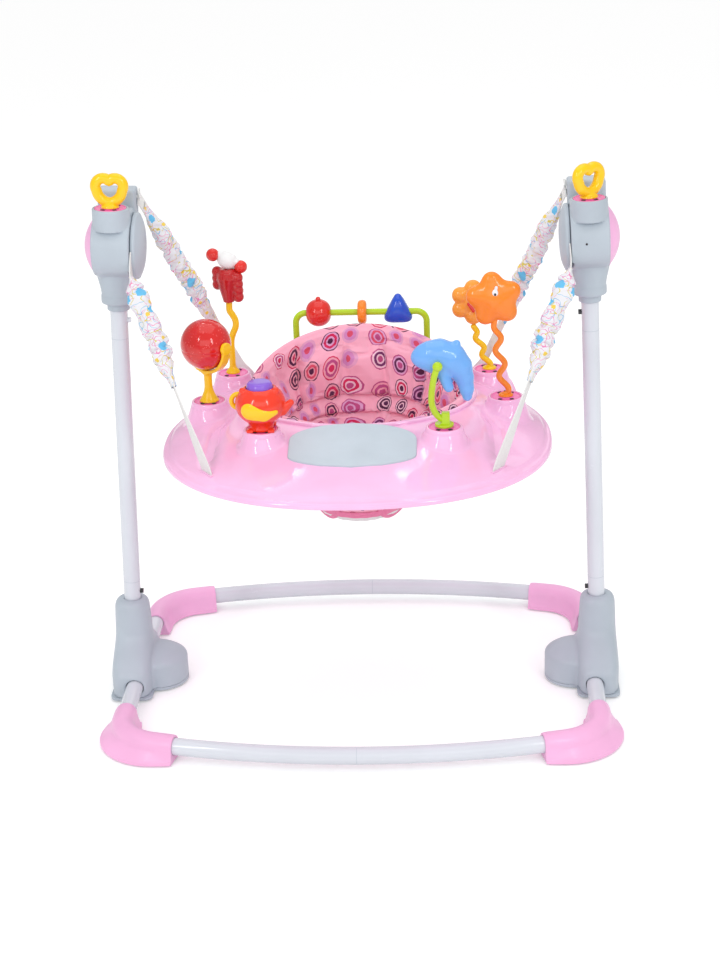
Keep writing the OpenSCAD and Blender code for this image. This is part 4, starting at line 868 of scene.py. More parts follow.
@dataclass
class Stage:
    """Floor, soft studio lights and the camera at the photograph's place."""

    camera_at: tuple = (158.0, -2682.0, 1399.0)
    yaw: float = math.radians(-3.34)
    pitch: float = math.radians(21.69)
    roll: float = math.radians(-2.0)
    focal_px: float = 1934.0
    frame_px: float = 960.0
    floor_half: float = 20.0
    glow: float = 0.2
    world_level: float = 0.86
    mirrored_level: float = 0.4
    lamps: tuple = (("key_left", (-1500, -2100, 1900), (0, 0, 420), (0.22, 1.3), 10.0),
                    ("key_right", (1500, -2100, 1900), (0, 0, 420), (0.22, 1.3), 10.0),
                    ("fill", (0, -3300, 1900), (0, 0, 450), (3.0, 1.6), 13.0),
                    ("overhead", (0, 300, 2900), (0, 0, 300), (2.4, 2.4), 12.0),
                    ("behind", (0, 2600, 1600), (0, 0, 500), (2.4, 1.2), 5.0),
                    ("streak_left", (-490, 1180, 2090), (-90, -197, 414), (0.22, 0.045), 0.32),
                    ("streak_right", (230, 1160, 2140), (89, -201, 413), (0.22, 0.045), 0.32))

    def build(self) -> None:
        """Makes the camera, the floor, the lights and the world."""
        self.camera()
        self.floor()
        self.world()
        for row in self.lamps:
            self.lamp(*row)

    def camera(self) -> None:
        """The camera: yaw about Z, pitch down, roll, and a lens from the focal length in pixels."""
        c, s = math.cos(self.pitch), math.sin(self.pitch)
        forward = np.array([math.sin(self.yaw) * c, math.cos(self.yaw) * c, -s])
        level = np.array([math.cos(self.yaw), -math.sin(self.yaw), 0.0])
        upright = np.cross(level, forward)
        right = math.cos(self.roll) * level + math.sin(self.roll) * upright
        up = -math.sin(self.roll) * level + math.cos(self.roll) * upright
        data = bpy.data.cameras.new("camera")
        data.sensor_width = 36.0
        data.lens = self.focal_px / self.frame_px * data.sensor_width
        data.clip_end = 100.0
        bpy.context.scene.camera = self.aimed(data, self.camera_at, right, up)

    @staticmethod
    def aimed(data: bpy.types.ID, at: tuple, right: Array, up: Array) -> bpy.types.Object:
        """Puts a camera or lamp in its place, with its own X to the right and its own Y up."""
        turn = np.eye(4)
        turn[:3, :3] = np.stack([right, up, np.cross(right, up)], axis=1)
        turn[:3, 3] = np.array(at) * MM
        made = bpy.data.objects.new(data.name, data)
        made.matrix_world = Matrix(turn.tolist())
        bpy.context.scene.collection.objects.link(made)
        return made

    def floor(self) -> None:
        """A wide pale floor that keeps the shadows and glows a little to the camera."""
        h = self.floor_half
        mesh = bpy.data.meshes.new("floor")
        mesh.from_pydata([(-h, -h, 0), (h, -h, 0), (h, h, 0), (-h, h, 0)], [], [(0, 1, 2, 3)])
        material = bpy.data.materials.new("floor")
        material.use_nodes = True
        tree = Tree(material.node_tree)
        shader = material.node_tree.nodes["Principled BSDF"]
        tree.feed(shader.inputs, {"Base Color": (0.92, 0.92, 0.92, 1.0), "Roughness": 0.9,
                                  "Specular IOR Level": 0.1})
        glow = tree.add("Emission", {"Color": (1, 1, 1, 1), "Strength": self.glow})
        seen = tree.add("LightPath").outputs["Is Camera Ray"]
        dim = tree.add("MixShader", {0: seen, 2: glow.outputs[0]})
        both = tree.add("AddShader", {0: shader.outputs[0], 1: dim.outputs[0]})
        tree.feed(material.node_tree.nodes["Material Output"].inputs, {"Surface": both.outputs[0]})
        mesh.materials.append(material)
        made = bpy.data.objects.new("floor", mesh)
        bpy.context.scene.collection.objects.link(made)

    def world(self) -> None:
        """White all round, dimmer where it is mirrored, so that colours stay deep."""
        world = bpy.data.worlds.new("studio")
        world.use_nodes = True
        tree = Tree(world.node_tree)
        mirrored = tree.add("LightPath").outputs["Is Glossy Ray"]
        level = tree.span(mirrored, self.world_level, self.mirrored_level)
        tree.feed(world.node_tree.nodes["Background"].inputs, {"Color": (1, 1, 1, 1), "Strength": level})
        bpy.context.scene.world = world
        bpy.context.scene.view_settings.view_transform = "Standard"

    def lamp(self, name: str, at: tuple, to: tuple, size: tuple, power: float) -> None:
        """A soft rectangular lamp at one place, turned to another.

        Args:
            name: the lamp's name.
            at: its place.
            to: the place that it shines on.
            size: its sides, in metres.
            power: its power, in watts.
        """
        data = bpy.data.lights.new(name, "AREA")
        data.shape = "RECTANGLE"
        data.size, data.size_y = size
        data.energy = power
        back = unit(np.array(at, float) - np.array(to, float))
        right = unit(np.cross(UP if abs(back[2]) < 0.95 else BACK, back))
        self.aimed(data, at, right, np.cross(back, right))


@dataclass
class Stand:
    """Base ring, corner boots, foot housings and posts."""

    boot_r: float = 17.2
    boot_flare: float = 15.0
    boot_lip: float = 4.0
    boot_low: float = 2.0
    boot_side: float = 28.0
    boot_bow: float = 34.0
    boot_toe: float = 0.13
    boot_sole: float = 3.0
    boot_inner: float = 2.0
    boot_mouths: tuple = ((1.6, 5.0), (0.9, 3.0))  # narrower by, over a length of
    boot_powers: tuple = (1.5, 1.3)  # of the flare on the inside, on the outside
    boot_play: float = 0.5
    lip_edge: float = 0.8
    lip_proud: float = 1.8
    lip_bevel: float = 1.2
    foot_x: float = 356.41
    lobe_x: float = 323.41
    lobe_r: float = 46.0
    lobe_top: float = 62.0
    lobe_fall: float = 19.0
    lobe_power: float = 2.2
    foot_top: float = 142.0
    skirt_half: tuple = (31.5, 77.5)
    tower_half: tuple = (28.5, 29.5)
    tower_slim: tuple = (3.0, 3.5)
    tower_rise: tuple = (34.0, 58.0)  # from, over a height of
    tower_taper: tuple = (60.0, 80.0)  # from, over a height of
    tower_power: tuple = (4.2, 2.2)  # of the outline at the skirt, at the top
    foot_eases: tuple = (13.0, 3.5, 7.0)  # top edge, lobe's edge, joint of both
    side_hole_y: float = 46.0
    side_play: float = 0.7
    post_hole_z: float = 118.0
    post_play: float = 0.3
    hole_ease: float = 1.5
    foot_low: float = 7.0
    seams: tuple = (171.0, 560.0)
    seam_half: float = 0.35
    seam_proud: float = 0.06

    def build(self, nodes: dict[str, bpy.types.Object]) -> None:
        """Makes the pieces of the stand and dresses the tubes, plates, pads and buttons."""
        for name, look in self.kept().items():
            dress(nodes[name], look)
        for label, side in SIDES:
            for where, rear in (("front", -1), ("rear", 1)):
                node = f"corner_boot_{where}_{label}"
                fitted(f"boot_{where}_{label}", self.boot().scaled(side, rear, 1), Look.BOOT, "frame", node)
            foot = self.foot().scaled(side, 1, 1)
            fitted(f"foot_{label}", foot, Look.GREY, "frame", f"foot_housing_{label}")
            fitted(f"post_seams_{label}", self.seam_rings(side), Look.GREY, "frame")
        fitted("bar_seams", self.bar_seams(), Look.GREY, "frame")

    @staticmethod
    def kept() -> dict[str, Look]:
        """CAD nodes of the stand that stay, with their finish."""
        bars = {f"base_bar_{r}_{s}": Look.TUBE for r in ("front", "rear") for s in ("left", "right")}
        buttons = {f"snap_button_{h}_{s}": Look.DARK for h in ("lower", "upper") for s in ("left", "right")}
        buttons["snap_button_upper_left"] = Look.TUBE
        return {**bars, **buttons, "base_side_tubes": Look.TUBE, "post_stubs": Look.TUBE,
                "post_tube_left": Look.TUBE, "post_tube_right": Look.TUBE, "base_joint_sleeves": Look.STEEL,
                "foot_base_plates": Look.GREY, "rubber_pads": Look.RUBBER}

    def boot(self) -> Shape:
        """Boot of the right rear corner: a hood over the tube that flares to a lipped sole.

        The section runs round the tube's axis. Its upper half is a circle, and its sides run down and out
        with a power of the way to the floor. It flares most at the corner's outside and narrows at its ends.
        """
        c = PLAN
        bow_c = c.bow_r - c.base_half_d
        bow_a = math.asin((c.base_half_w - c.bend_r) / (c.bow_r - c.bend_r))
        bend_y = math.sqrt((c.bow_r - c.bend_r) ** 2 - (c.base_half_w - c.bend_r) ** 2) - bow_c
        turn = math.pi / 2 - bow_a
        side_run, bend, bow_run = self.boot_side, c.bend_r * turn, self.boot_bow
        way = np.linspace(0, side_run + bend + bow_run, 64)
        angle = np.clip((way - side_run) / c.bend_r, 0, turn)
        angle = angle + np.maximum(0, way - side_run - bend) / c.bow_r
        out = stacked(np.cos(angle), np.sin(angle))
        corner = np.array([c.base_half_w - c.bend_r, bend_y]) + c.bend_r * out
        straight = stacked(np.full_like(way, c.base_half_w), bend_y - side_run + way)
        bowed = np.array([0.0, -bow_c]) + c.bow_r * out
        axis = np.where((way < side_run)[:, None], straight,
                        np.where((way > side_run + bend)[:, None], bowed, corner))
        share = way / way[-1]
        toe = np.sin(math.pi * np.clip((share + self.boot_toe) / (1 + self.boot_toe), 0, 1))
        ways = (way, way[-1] - way)
        slim = sum(by * np.exp(-off / over) for off, (by, over) in zip(ways, self.boot_mouths))
        across, up = self.boot_section(self.boot_r - slim, self.boot_sole + self.boot_flare * toe,
                                       self.boot_sole + self.boot_inner * toe)
        outer = np.concatenate([axis[:, None] + out[:, None] * across[..., None], up[..., None]], axis=-1)
        bore = c.tube_r + self.boot_play
        ring = FULL * np.arange(outer.shape[1]) / outer.shape[1] - math.pi / 2
        within = axis[::-1, None] - out[::-1, None] * (bore * np.cos(ring))[None, :, None]
        height = np.broadcast_to(c.base_z + bore * np.sin(ring), within.shape[:2])[..., None]
        inner = np.concatenate([within, height], axis=-1)
        return surface(np.concatenate([outer, inner]), loop=True)

    def boot_section(self, radius: Array, flare_out: Array, flare_in: Array) -> tuple[Array, Array]:
        """The boot's section at each stop, from its lowest middle point round the inner side and back.

        Args:
            radius: radius of the hood at each stop.
            flare_out: how far the sole stands out on the outside.
            flare_in: the same on the inside.

        Returns:
            Distances out from the tube's axis, and heights.
        """
        axis_z, low, lip = PLAN.base_z, self.boot_low, self.boot_low + self.boot_lip
        crisp, bevel = self.lip_edge, self.lip_bevel
        power_in, power_out = self.boot_powers
        fall = np.linspace(0, 1, 8)[None, :]
        arc = np.linspace(0, math.pi, 25)[None, 1:-1]
        r, wide_in, wide_out = radius[:, None], flare_in[:, None], flare_out[:, None]
        wall_z = lip + crisp + (axis_z - lip - crisp) * fall + 0 * r
        left = -r - wide_in * (1 - fall) ** power_in
        right = (r + wide_out * (1 - fall) ** power_out)[:, ::-1]
        edge = np.ones((1, 3))
        sole = np.array([[low, low + crisp, lip]]) + 0 * r
        left_lip = -(r + wide_in + self.lip_proud) * edge + np.array([[bevel, 0.0, 0.0]])
        right_lip = (r + wide_out + self.lip_proud) * edge - np.array([[0.0, 0.0, bevel]])
        across = np.concatenate([0 * r, left_lip, left, -r * np.cos(arc), right, right_lip], axis=1)
        up = np.concatenate([low + 0 * r, sole, wall_z, axis_z + r * np.sin(arc), wall_z[:, ::-1],
                             sole[:, ::-1]], axis=1)
        return across, up

    def foot_form(self, p: Array) -> Array:
        """Distance to a right-hand foot: a tower that spreads to a long skirt, with a sloped round lobe."""
        x, y, z = p[..., 0] - self.foot_x - 0.5, p[..., 1], p[..., 2]
        top_edge, lobe_edge, joint = self.foot_eases
        ease = eased((z - self.tower_rise[0]) / self.tower_rise[1])
        top = np.clip((z - self.tower_taper[0]) / self.tower_taper[1], 0, 1) ** 2
        half_w, half_d = (low + (high - low) * ease - slim * top for low, high, slim
                          in zip(self.skirt_half, self.tower_half, self.tower_slim))
        power = self.tower_power[0] + (self.tower_power[1] - self.tower_power[0]) * ease
        tower = (np.abs(x / half_w) ** power + np.abs(y / half_d) ** power) ** (1 / power) - 1
        tower = tower * np.minimum(half_w, half_d)
        tower = -melt(-tower, -(z - self.foot_top), top_edge)
        out = np.hypot(p[..., 0] - self.lobe_x, y)
        roof = self.lobe_top - self.lobe_fall * (out / self.lobe_r) ** self.lobe_power
        lobe = -melt(-(out - self.lobe_r), -(z - roof) * 0.9, lobe_edge)
        form = melt(tower, lobe, joint)
        socket = np.hypot(p[..., 0] - PLAN.base_half_w, z - PLAN.base_z) - PLAN.tube_r - self.side_play
        socket = np.maximum(socket, self.side_hole_y - np.abs(y))
        post = p[..., 0] - PLAN.post_x + z * math.sin(PLAN.lean)
        bore = np.maximum(np.hypot(post, y) - PLAN.tube_r - self.post_play, self.post_hole_z - z)
        form = carve(carve(form, socket, self.hole_ease), bore, self.hole_ease)
        return np.maximum(form, self.foot_low - z)

    def foot(self) -> Shape:
        """Skin of a right-hand foot housing."""
        low = (self.lobe_x - self.lobe_r - 4, -84, 2)
        return moulded(self.foot_form, low, (self.foot_x + 38, 84, self.foot_top + 5), 2.0)

    def seam_line(self, at: float) -> Shape:
        """A fine ring round a tube that stands on Z, where two tubes meet."""
        inner, outer, half = PLAN.tube_r - 0.3, PLAN.tube_r + self.seam_proud, self.seam_half
        crest = half - 0.05
        return lathe(np.array([[inner, at - half], [outer, at - crest], [outer, at + crest],
                               [inner, at + half], [inner, at - half]]), 48)

    def seam_rings(self, side: int) -> Shape:
        """Fine dark lines where a post's tubes meet."""
        return joined(*(self.seam_line(z).moved(lambda p: PLAN.on_post(p, side)) for z in self.seams))

    def bar_seams(self) -> Shape:
        """Fine dark lines where the halves of the front and rear bar meet."""
        c = PLAN
        line = self.seam_line(0.0).moved(onto_x)
        return joined(*(line.shifted(0.0, y, c.base_z) for y in (-c.base_half_d, c.base_half_d)))


def dress(node: bpy.types.Object, look: Look) -> None:
    """Gives a CAD node that stays shown its finish."""
    node.data.materials.clear()
    node.data.materials.append(look.material)


@dataclass
class Heads:
    """The grey heads on the posts, with caps, dishes, sockets and hearts."""

    front_r: float = 42.5
    front_y: float = -14.0
    back_r: float = 50.0
    back_y: float = 6.0
    drum_half: float = 27.0
    collar_z: float = 603.0
    collars: tuple = ((8.0, 16.3, 8.0, 1.2, 1.0), (17.5, 24.3, 6.5, 2.5, 1.2))  # z, r, half, edge, ease
    neck_half: tuple = (23.5, 23.5)
    neck_grows: tuple = (7.0, 2.0)
    neck_rise: tuple = (22.0, 42.0)  # from, over a height of, above the collar's foot
    neck_span: tuple = (50.0, 32.0)  # middle above the collar's foot, half height
    bore_top: float = 16.0
    bore_play: float = 0.3
    well_deep: float = 5.5
    well_play: float = 0.4
    spout_r: float = 26.0
    spout_y: float = -30.0
    spout_z: float = 745.0
    spout_half: float = 15.5
    spout_root: tuple = (729.0, 752.0)
    strap_low: tuple = (18.0, 690.0)
    strap_high: tuple = (52.0, 774.0)
    slit: tuple = ((-29.0, -47.0, 650.0), (-23.5, -24.0, 672.0))
    disc_top: float = 761.0
    disc_r: float = 22.3
    cap_r: float = 43.0
    cap_h: float = 17.0
    dish_r: float = 48.0
    dish_t: float = 11.9
    dish_gap: float = 3.1
    heart_r: float = 7.6
    heart_z: float = 768.0
    heart_lobe: tuple = (8.2, 11.4, 23.0)  # middle's x, radius, middle's height
    heart_dip: float = 7.6
    heart_turns: tuple = (0.0, math.radians(36))
    peep_at: tuple = (-6.0, 701.0)

    def build(self, nodes: dict[str, bpy.types.Object]) -> None:
        """Makes both heads."""
        for name, look in {"head_screws": Look.STEEL, "strap_pins": Look.WHITE}.items():
            dress(nodes[name], look)
        shell = moulded(self.form, (-32, -66, 598), (32, 66, 780), 1.8)
        for (label, side), turn in zip(SIDES, self.heart_turns):
            def place(p: Array, s: int = side) -> Array:
                """From the post's frame to the object's."""
                return PLAN.on_post(p, s)
            shells = (f"head_outer_shell_{label}", f"head_inner_shell_{label}")
            # The socket's dark slot bars are painted shade of its catch slots.
            parts = (("head", shell, Look.GREY, shells), ("head_cap", self.cap(), Look.BOOT, ("head_caps",)),
                     ("head_dish", self.dish(), Look.GREY, ("head_dishes",)),
                     ("head_socket", self.on_spout(socket_disc), Look.HOT, ("head_sockets",)),
                     ("head_slot_shade", self.on_spout(socket_slots), Look.SHADOW, ()))
            for name, shape, look, stands_for in parts:
                fitted(f"{name}_{label}", shape.moved(place), look, "frame", *stands_for)
            heart = self.heart(turn).moved(place)
            fitted(f"heart_{label}_toy", heart, Look.YELLOW, f"heart_{label}", f"heart_{label}")
        # Painted shade: a dark disc stands for the peep hole's shade.
        fitted("head_peep_hole_shade", self.peep_hole(), Look.SHADOW, "frame")

    def on_spout(self, make: Callable[[float, float], Shape]) -> Shape:
        """A piece of the toy socket, in its place on the spout."""
        return make(self.disc_r, self.disc_top).shifted(0, self.spout_y, 0)

    def peep_hole(self) -> Shape:
        """Painted shade of a small hole in the front of the right head: a small dark disc on its face."""
        x, z = self.peep_at
        line = np.array([[0.0, 0.4], [1.5, 0.4], [1.7, 0.0], [1.7, -1.0], [0.0, -1.0]])

        def place(p: Array) -> Array:
            """From the hole's own axis to the head's front."""
            ahead = self.front_y - self.front_r - p[..., 2]
            return PLAN.on_post(stacked(p[..., 0] + x, ahead, p[..., 1] + z), 1)

        return lathe(line, 24).moved(place)

    def form(self, p: Array) -> Array:
        """Distance to a head in its post's frame: two drums, neck, two collars, spout and strap block."""
        x, y, z = p[..., 0], p[..., 1], p[..., 2]
        front = drum(p, (0, self.front_y, PLAN.head_z + 3), 0, self.front_r, self.drum_half, 2.0)
        back = drum(p, (0, self.back_y, PLAN.head_z), 0, self.back_r, self.drum_half - 0.5, 7.0)
        up = eased((z - self.collar_z - self.neck_rise[0]) / self.neck_rise[1])
        neck_w, neck_d = (half + more * up for half, more in zip(self.neck_half, self.neck_grows))
        neck = (np.hypot(x / neck_w, y / neck_d) - 1) * 25
        neck = np.maximum(neck, np.abs(z - self.collar_z - self.neck_span[0]) - self.neck_span[1])
        form = melt(melt(front, back, 3.0), neck, 1.6)
        for above, radius, half, edge, ease in self.collars:
            form = melt(form, drum(p, (0, 0, self.collar_z + above), 2, radius, half, edge), ease)
        spout = drum(p, (0, self.spout_y, self.spout_z), 2, self.spout_r, self.spout_half, 1.6)
        low, high = self.spout_root
        root = block(p, (-self.spout_r, self.spout_y, low), (self.spout_r, 10, high), 3.0)
        strap = block(p, (-self.drum_half, *self.strap_low), (self.drum_half, *self.strap_high), 4.0)
        form = melt(melt(form, melt(spout, root, 3.0), 1.6), strap, 4.0)
        well = np.hypot(x, y - self.spout_y) - self.disc_r - self.well_play
        well = np.maximum(well, self.disc_top - self.well_deep - z)
        slit = block(p, *self.slit, 1.5)
        bore = np.hypot(x, y) - PLAN.tube_r - self.bore_play
        bore = np.maximum(bore, z - self.collar_z - self.bore_top)
        return carve(carve(carve(form, well, 0.8), slit, 1.5), bore, 0.8)

    def cap(self) -> Shape:
        """Pink domed cap on the outside: a slice of a ball with an eased rim."""
        r, h = self.cap_r, self.cap_h
        big = (r * r + h * h) / (2 * h)
        q = np.linspace(0, r - 1.5, 28)
        dome = stacked(q, np.sqrt(big * big - q * q) - big + h)
        rim = np.array([[r - 0.4, 1.6], [r, 0.8], [r, -0.5], [0.0, -0.5]])
        whole = lathe(np.concatenate([dome, rim]), 96)
        return whole.moved(lambda p: onto_x(p) + np.array([self.drum_half, 0, PLAN.head_z]))

    def dish(self) -> Shape:
        """Grey dish on the inside, on a hub that leaves the strap's gap."""
        r, t, gap = self.dish_r, self.dish_t, self.dish_gap
        line = rounded([(0, -1, 0), (16, -1, 0), (16, gap, 0.5), (r - 4, gap, 1), (r - 1.5, 0.6, 0.6),
                        (r, 1.6, 0.8), (r, gap + 3.5, 3), (r * 0.72, gap + t - 2.4, 12),
                        (r * 0.35, gap + t - 0.3, 8), (0, gap + t, 0)], 8)
        return lathe(line, 96).moved(
            lambda p: onto_x(p) * np.array([-1, 1, 1]) + np.array([-self.drum_half, 0, PLAN.head_z]))

    def heart(self, turn: float) -> Shape:
        """A heart of round rod on a flared foot: straight sides from its point to two round lobes.

        Args:
            turn: how far it is turned about the post.

        Returns:
            Heart and foot.
        """
        lobe_x, lobe_r, lobe_z = self.heart_lobe
        arc = np.linspace(-0.45, 2.15, 22)
        lobe = stacked(lobe_x + lobe_r * np.cos(arc), lobe_z + lobe_r * np.sin(arc))
        half = np.concatenate([np.array([[0.0, 0.0], [8.5, 2.6], [15.5, 9.6]]), lobe])
        line = np.concatenate([half, [[0.0, lobe_z + self.heart_dip]], half[:0:-1] * np.array([-1, 1])])
        path = stacked(line[:, 0], 0 * line[:, 0], line[:, 1] + self.heart_z)
        loop = sweep(smooth_path(path, 150, True), self.heart_r, BACK, 28, True)
        low, high = self.disc_top, self.heart_z + 3
        base = rounded([(0, low + 0.4, 0), (13, low + 0.4, 0.6), (12.4, low + 3, 2), (9.5, low + 6, 3),
                        (7, high, 1), (0, high, 0)], 6)
        both = joined(loop, lathe(base, 48))
        c, s = math.cos(turn), math.sin(turn)
        spin = np.array([[c, -s, 0], [s, c, 0], [0, 0, 1]])
        return both.moved(lambda p: p @ spin.T + np.array([0, self.spout_y, 0]))


def socket_disc(radius: float, top: float) -> Shape:
    """Hot-pink toy socket: a flat disc with a raised ring round the stem hole and a raised rim."""
    line = rounded([(6.6, top - 5, 0), (6.6, top + 0.2, 0.4), (10.5, top + 0.2, 0.6), (12, top - 1.1, 0.8),
                    (radius - 2.4, top - 1.1, 0.8), (radius - 1.4, top, 0.6), (radius, top - 0.4, 0.3),
                    (radius, top - 5, 0), (6.6, top - 5, 0)], 3)
    return lathe(line, 72)


def socket_slots(radius: float, top: float) -> Shape:
    """Painted shade of four catch slots near a socket disc's edge: short curved bars that stand 0.25 mm proud
    and wear a dark finish.
    """
    bars = []
    for middle in np.radians([-120, -60, 60, 120]):
        a = np.linspace(middle - 0.15, middle + 0.15, 10)
        r = np.array([radius - 7.0, radius - 3.2])[:, None]
        flat = stacked(r * np.cos(a), r * np.sin(a))
        high = np.concatenate([flat, np.full((2, 10, 1), top + 0.25)], axis=-1)
        low = high - np.array([0, 0, 2.0])
        bars.append(surface(np.stack([low[0], high[0], high[1], low[1]]), wrap=False, loop=True))
    return joined(*bars)


@dataclass
class Straps:
    """Four straps from the heads to the tray: webbing, ruffled sleeve and the spring inside.

    Pairs of values are for the front straps and the rear ones.
    """

    web_w: float = 25.0
    web_t: float = 1.6
    cover: tuple = (0.565, 0.64)
    sleeve_from: tuple = (0.0, 0.03)
    puffs: tuple = (6.2, 10.5)
    facing: tuple = (0.4, 0.12)
    cuts: tuple = ((0.095, 0.18), (0.095, 0.28))
    flat_w: float = 11.5
    open_w: float = 1.4
    swell_w: float = 0.8
    puff_w: tuple = (3.4, 4.8)
    crease_w: tuple = (1.0, 1.7)
    flat_d: float = 3.0
    swell_d: tuple = (7.0, 4.2)
    puff_d: float = 5.6
    crease_d: tuple = (1.3, 2.0)
    opens_by: tuple = (0.14, 0.26)
    closes_from: float = 0.3
    faces_by: float = 0.35
    sway: float = 1.6
    girth: float = 92.0
    turns_from: tuple = (0.0, 0.62)
    side_x: float = -29.0
    pins: tuple = ((-40.0, 698.0), (40.0, 760.0))
    tops: tuple = ((-52.0, 666.0), (54.0, 752.0))
    ends: tuple = ((205.0, -156.0), (172.0, 200.0))
    slot_turns: tuple = (math.atan2(205, 156), math.radians(-21))
    coil_r: float = 4.2
    wire_r: float = 0.8
    coils: int = 44

    def build(self) -> None:
        """Makes the straps of both sides, from the heads to the tray."""
        for where, kind in (("front", 0), ("rear", 1)):
            for label, side in SIDES:
                on = f"{where}_{label}"
                parts = ((f"sleeve_{on}", self.sleeve(kind), Look.SLEEVE, f"strap_sleeve_{on}"),
                         (f"webbing_{on}", self.webbing(kind), Look.WEBBING, f"webbing_{where}"),
                         (f"spring_{on}", self.spring(kind), Look.STEEL, "bounce_springs"))
                for name, shape, look, node in parts:
                    made = piece(name, shape.scaled(side, 1, 1), look, 80.0)
                    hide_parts(node)
                    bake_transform(made)

    def route(self, kind: int) -> tuple[Array, Array, Array, Array]:
        """Pin, top, tray end and slot direction of a right-hand strap, front or rear."""
        pin, top = (PLAN.on_post(np.array([self.side_x, *at[kind]]), 1) for at in (self.pins, self.tops))
        x, y = self.ends[kind]
        end = np.array([x, y, float(PLAN.tray_z(np.array(x), np.array(y))) + 1])
        turn = self.slot_turns[kind]
        return pin, top, end, np.array([math.cos(turn), math.sin(turn), 0.0])

    def flat_way(self, kind: int) -> Array:
        """Direction of the webbing's width where it leaves the head."""
        _, top, end, _ = self.route(kind)
        out = PLAN.on_post(np.array([1.0, 0, 0]), 1) - PLAN.on_post(np.zeros(3), 1)
        return unit(np.cross(out, unit(end - top)))

    def sleeve(self, kind: int) -> Shape:
        """Gathered fabric tube: puffs between pinched gathers, with fine slanting creases.

        The section is an oval that turns from the head's side to face forwards. Its size follows the root of
        a sine's height along the strap, so that puffs meet in pinches, each on a slant. The inner wall lies
        1 mm in.
        """
        _, top, end, slot = self.route(kind)
        along = unit(end - top)
        rows, cols = 170, 84
        t = np.linspace(0, 1, rows)[:, None]
        a = FULL * np.linspace(0, 1, cols + 1)[None, :]
        turned = eased(t / self.faces_by) * self.facing[kind]
        flat = self.flat_way(kind)
        wide = flat + (slot * np.sign(slot @ flat) - flat) * turned
        wide = unit(wide - along * (wide @ along)[:, None])[:, None]
        thick = np.cross(along, wide)
        phase = self.puffs[kind] * math.pi * (t + 0.05 * np.sin(9 * t + kind)) + 0.5 * np.sin(a + 0.7 + 4 * t)
        phase = phase + 0.35 * np.sin(2 * a + 5 * t)
        puff = np.abs(np.sin(phase)) ** 0.6
        crease = np.sin(phase * 3 + 3 * a + 6 * t) * 0.6 + np.sin(phase * 6.3 - 5 * a + 1.3) * 0.4
        creases = crease * (0.6 + 0.6 * (1 - puff))
        opening = eased(t / self.opens_by[kind])
        closing = opening * (0.1 + 0.9 * eased((1 - t) / self.closes_from))
        lobe = 1 + 0.1 * np.sin(3 * a + 9 * t) + 0.07 * np.sin(5 * a - 14 * t)
        ruffle_w = self.swell_w + self.puff_w[kind] * puff + self.crease_w[kind] * creases
        ruffle_d = self.swell_d[kind] + self.puff_d * puff + self.crease_d[kind] * creases
        half_w = self.flat_w + self.open_w * opening + closing * lobe * ruffle_w
        half_d = self.flat_d + closing * lobe * ruffle_d
        begin, cover = self.sleeve_from[kind], self.cover[kind]
        middle = top + (end - top) * (begin + (cover - begin) * t)[..., None]
        swing = self.sway * np.sin(math.pi * self.puffs[kind] * 0.45 * t + kind)
        sway = swing[..., None] * closing[..., None] * thick

        def wall(inset: float) -> Array:
            """One wall of the tube, drawn in by inset."""
            w, d = half_w - inset, half_d - inset
            return middle + sway + (w * np.cos(a))[..., None] * wide + (d * np.sin(a))[..., None] * thick

        run = np.broadcast_to(t * np.linalg.norm(end - top) * (cover - begin) * 1.25, (rows, cols + 1))
        girth = np.broadcast_to(a / FULL * self.girth + 300 * kind, (rows, cols + 1))
        uv = stacked(girth, run + 140 * kind)
        both = np.concatenate([wall(0.0), wall(1.0)[::-1]])
        return surface(both, wrap=False, loop=True, uv=np.concatenate([uv, uv[::-1]]))

    def webbing(self, kind: int) -> Shape:
        """Flat webbing in two stretches; the lower one turns from the head's side to the tray's slot."""
        pin, top, end, slot = self.route(kind)
        wide = self.flat_way(kind)
        twist = slot * np.sign(slot @ wide)
        cover = self.cover[kind]
        upper = np.stack([pin, top, top + (end - top) * 0.09])
        low, out = top + (end - top) * (cover - 0.02), top + (end - top) * (cover + 0.02)
        free = out + (end - out) * np.linspace(0, 1, 60)[:, None]
        lower = np.concatenate([low[None], free, (end - np.array([0, 0, 7.0]))[None]])
        late = self.turns_from[kind]
        share = eased((np.linspace(0, 1, 60) - late) / (0.95 - late))
        share = self.facing[kind] + (1 - self.facing[kind]) * share
        turn = wide + (twist - wide) * share[:, None]
        ways = np.concatenate([turn[:1], turn, twist[None]])
        return joined(self.ribbon(smooth_path(upper, 24), np.broadcast_to(wide, (24, 3))),
                      self.ribbon(lower, ways))

    def ribbon(self, path: Array, ways: Array) -> Shape:
        """A thin flat band along a path, with round edges and its width along given directions."""
        along = unit(np.gradient(path, axis=0))
        wide = unit(ways - along * (ways * along).sum(-1, keepdims=True))
        thick = np.cross(along, wide)
        half, edge = self.web_w / 2, self.web_t / 2
        ring = rounded([(-half + 2, -edge, 0), (half, -edge, edge * 0.9), (half, edge, edge * 0.9),
                        (-half, edge, edge * 0.9), (-half, -edge, edge * 0.9), (-half + 2, -edge, 0)], 3)
        points = path[:, None] + ring[None, :, :1] * wide[:, None] + ring[None, :, 1:] * thick[:, None]
        run = np.concatenate([[0], np.cumsum(np.linalg.norm(np.diff(path, axis=0), axis=1))])
        uv = np.stack(np.broadcast_arrays(ring[None, :, 0], run[:, None]), axis=-1)
        caps = [surface(np.stack([points[k], np.repeat(points[k].mean(0)[None], len(ring), 0)]), wrap=False,
                        uv=np.stack([uv[k], uv[k]])) for k in (0, -1)]
        return joined(surface(points, wrap=False, uv=uv), *caps)

